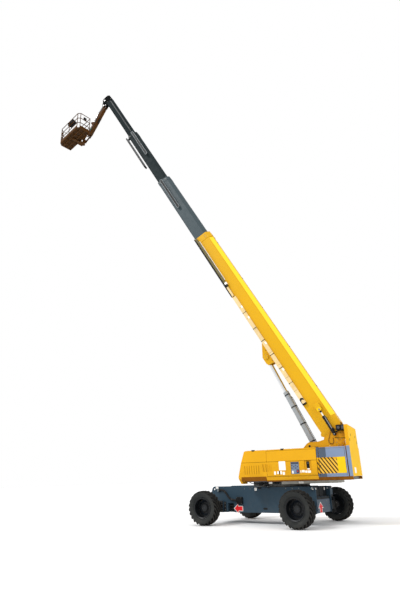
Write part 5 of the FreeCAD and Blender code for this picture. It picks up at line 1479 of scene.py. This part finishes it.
# ------------------------------------------------------------------ platform
p = Shape(M_S)
p.use(Y_J)
for s in (1, -1):
    y0, y1 = sorted((s * 0.1305, s * 0.1345))
    p.lathe([(0.0355, y0), (0.058, y0), (0.058, y1), (0.0355, y1)], (0, 0, 0), n=28, close=True)
p.use(BLACK)
p.lathe([(0.0755, -0.405), (0.088, -0.405), (0.088, -0.375), (0.0755, -0.375)], (0.36, 0, 0), "z", 36, close=True)
p.lathe([(0.0755, -0.105), (0.088, -0.105), (0.088, -0.075), (0.0755, -0.075)], (0.36, 0, 0), "z", 36, close=True)
p.use(BOLT)
for k in range(8):
    a = 2 * pi * k / 8
    p.bolt((0.36 + 0.058 * cos(a), 0.058 * sin(a), -0.06), (0, 0, 1), 0.008, 0.008)
p.use(BLACK)
p.pipe([(0.30, 0.125, -0.20), (0.30, 0.150, -0.20), (0.22, 0.150, -0.14), (0.02, 0.150, 0.05)], 0.010)
p.done("rotator_fittings", "support", "machine_yellow", bevel=0.0012, seg=1)

X0, X1, YH, CH = 0.260, 1.060, 1.060, 0.150
oc = [(X0, -YH), (X1 - CH, -YH), (X1, -YH + CH), (X1, YH - CH), (X1 - CH, YH), (X0, YH)]


def inset(pts, t):
    n, out = len(pts), []
    for i in range(n):
        a, b, c_ = Vector(pts[i - 1]), Vector(pts[i]), Vector(pts[(i + 1) % n])
        u, v = (b - a).normalized(), (c_ - b).normalized()
        nu, nv = Vector((-u.y, u.x)), Vector((-v.y, v.x))
        m_ = (nu + nv).normalized()
        out.append(tuple(b + m_ * t / max(0.2, m_.dot(nu))))
    return out


p = Shape(M_P)
p.use(Y_J)
inn = inset(oc, 0.045)
for i in range(6):
    a, b, c_, d_ = oc[i], oc[(i + 1) % 6], inn[(i + 1) % 6], inn[i]
    for z0, z1 in ((-0.008, 0.042),):
        p.prism([a, b, c_, d_], z0, z1, "z")
for y in (-0.70, -0.35, 0.0, 0.35, 0.70):
    p.box(X0 + 0.04, X1 - 0.04, y - 0.02, y + 0.02, -0.008, 0.026)
p.box(0.50, 0.56, -YH + 0.04, YH - 0.04, -0.008, 0.026)
p.box(0.78, 0.84, -YH + 0.04, YH - 0.04, -0.008, 0.026)
# closed pan under the grating, in dark brown for painted shade under the floor
p.use(PAN)
p.prism(inset(oc, 0.040), 0.0262, 0.0285, "z")
p.use(STEEL_D)
n = 44
for i in range(n + 1):          # grating bars
    y = -YH + 0.045 + (2 * YH - 0.09) * i / n
    edge = min(X1 - 0.04, X1 - CH + (YH - abs(y)) - 0.05)
    p.box(X0 + 0.04, edge, y - 0.0025, y + 0.0025, 0.024, 0.0438 if abs(y) < YH - 0.06 else 0.0415)
for i in range(19):
    x = X0 + 0.06 + 0.04 * i
    yy = YH - 0.045 if x < X1 - CH else YH - 0.045 - (x - X1 + CH)
    p.sweep([(x, -yy, 0.034), (x, yy, 0.034)], 0.0035, 6)
p.done("platform_floor_grating", "platform", "machine_yellow", bevel=0.0012, seg=1, replaces=("platform_floor",))

p = Shape(M_P)
# bracket under the floor: gussets, bolts
p.use(Y_J)
for s in (1, -1):
    p.prism([(0.05, -0.062), (0.70, -0.062), (0.70, -0.010), (0.28, -0.010), (0.05, -0.040)], min(s * 0.0605, s * 0.068), max(s * 0.0605, s * 0.068), "y")
p.use(BOLT)
for x in (0.40, 0.62):
    for s in (1, -1):
        p.bolt((x, s * 0.045, -0.0625), (0, 0, -1), 0.010, 0.008)
# rail joints: clamps at the corners, mid latches, lanyard rings
p.use(Y_J)
R_ = 0.020
posts = [(X0 + 0.025, -YH + 0.025), (X0 + 0.025, 0), (X0 + 0.025, YH - 0.025), (X1 - CH, YH - 0.025), (X1 - 0.025, YH - CH), (X1 - 0.025, 0),
         (X1 - 0.025, -YH + CH), (X1 - CH, -YH + 0.025)]
for x, y in posts:
    for z in (0.045, 0.40, 0.74):
        p.lathe([(R_, z - 0.020), (R_ + 0.0045, z - 0.016), (R_ + 0.0045, z + 0.016), (R_, z + 0.020)], (x, y, 0), "z", 20, close=True)
p.use(BOLT)
for y in (-0.6, 0.6):
    for z in (1.045,):
        pts_ = [(X0 + 0.025 + 0.028 * cos(t), y + 0.0, z + 0.028 * sin(t)) for t in [2 * pi * k / 14 for k in range(15)]]
        p.sweep(pts_, 0.005, 8)
# console: sloped face with blank switch caps, two joysticks, stop button, hood; cable glands
p.use(BLACK_P)
fx0, fz0, fx1, fz1 = 0.73, 1.05, 0.95, 1.15
tilt = atan2(fz1 - fz0, fx1 - fx0)
for y in (-0.16, 0.16):
    cx, cz = 0.80, 1.05 + (0.80 - 0.73) * tan(tilt)
    p.lathe([(0.040, cz - 0.004), (0.036, cz + 0.010), (0.022, cz + 0.026), (0.012, cz + 0.036)], (cx, y, 0), "z", 24)
    p.cyl((cx, y, cz + 0.03), (cx - 0.01, y, cz + 0.10), 0.009, 14)
    p.lathe([(0.0, cz + 0.10), (0.014, cz + 0.102), (0.018, cz + 0.118), (0.014, cz + 0.134), (0.0, cz + 0.138)], (cx - 0.01, y, 0), "z", 20)
p.use(RED)
p.cyl((0.90, 0.0, 1.125), (0.892, 0.0, 1.150), 0.022, 24)
p.use(PALE)
for i in range(5):
    for j in range(2):
        y = -0.08 + 0.040 * i
        x = 0.775 + 0.045 * j
        z = 1.05 + (x - 0.73) * tan(tilt)
        p.cyl((x, y, z - 0.003), (x - 0.004, y, z + 0.009), 0.010, 14)
p.use(BLACK_P)
p.prism([(0.735, 1.058), (0.745, 1.058), (0.955, 1.153), (0.955, 1.148), (0.735, 1.048)], -0.255, 0.255, "y")
for y in (-0.18, 0.0, 0.18):
    p.cyl((0.86, y, 0.945), (0.86, y, 0.90), 0.016, 14)
# tool tray and power box on the rails
p.use(BLACK_P)
p.prism(rrect(0.50, 0.68, 0.78, 0.98, 0.015, 3), 0.955, 1.012, "y")
p.use(PALE)
p.prism(rrect(0.53, 0.65, 0.82, 0.94, 0.01, 3), 0.948, 0.957, "y")
# gate hinge plates and latch keeper
p.use(Y_J)
p.box(0.288, 0.302, -1.052, -1.018, 0.30, 0.34)
p.done("platform_fittings", "platform", "machine_yellow", bevel=0.001, seg=1)
p = Shape(M_P)
p.use(Y_J)
gx0, gx1, gy = X0 + 0.025 + 0.042, X1 - CH - 0.042, -YH + 0.025
for z in (0.40, 0.74):
    for x in (gx0, gx1):
        p.lathe([(0.016, z - 0.018), (0.021, z - 0.014), (0.021, z + 0.014), (0.016, z + 0.018)], (x, gy, 0), "z", 18, close=True)
p.use(BLACK)
p.prism(rrect(gx0 + 0.01, gx0 + 0.055, 0.86, 0.94, 0.008, 3), gy - 0.014, gy + 0.014, "y")
p.done("gate_fittings", "gate", "machine_yellow", bevel=0.001, seg=1)

# ------------------------------------------------------------------ floor and light
me = bpy.data.meshes.new("floor")
S = 160.0
me.from_pydata([(-S, -S, 0), (S, -S, 0), (S, S, 0), (-S, S, 0)], [], [(0, 1, 2, 3)])
floor = bpy.data.objects.new("floor", me)
floor.location = (0, 0, -0.002)
col.objects.link(floor)
fm = bpy.data.materials.new("floor_pale")
fm.use_nodes = True
fp = fm.node_tree.nodes["Principled BSDF"]
fp.inputs["Base Color"].default_value = (0.93, 0.93, 0.93, 1)
fp.inputs["Roughness"].default_value = 0.95
fp.inputs["Specular IOR Level"].default_value = 0.1
me.materials.append(fm)
w = bpy.data.worlds.new("world")
w.use_nodes = True
w.node_tree.nodes["Background"].inputs[0].default_value = (1, 1, 1, 1)
w.node_tree.nodes["Background"].inputs[1].default_value = 1.0
scene.world = w
for name, e_, ang, rot in (("key", 1.3, 14, (radians(48), 0, radians(152))), ("fill", 0.45, 40, (radians(62), 0, radians(243)))):
    sun = bpy.data.lights.new(name, "SUN")
    sun.energy = e_
    sun.angle = radians(ang)
    so = bpy.data.objects.new(name, sun)
    so.rotation_euler = rot
    col.objects.link(so)
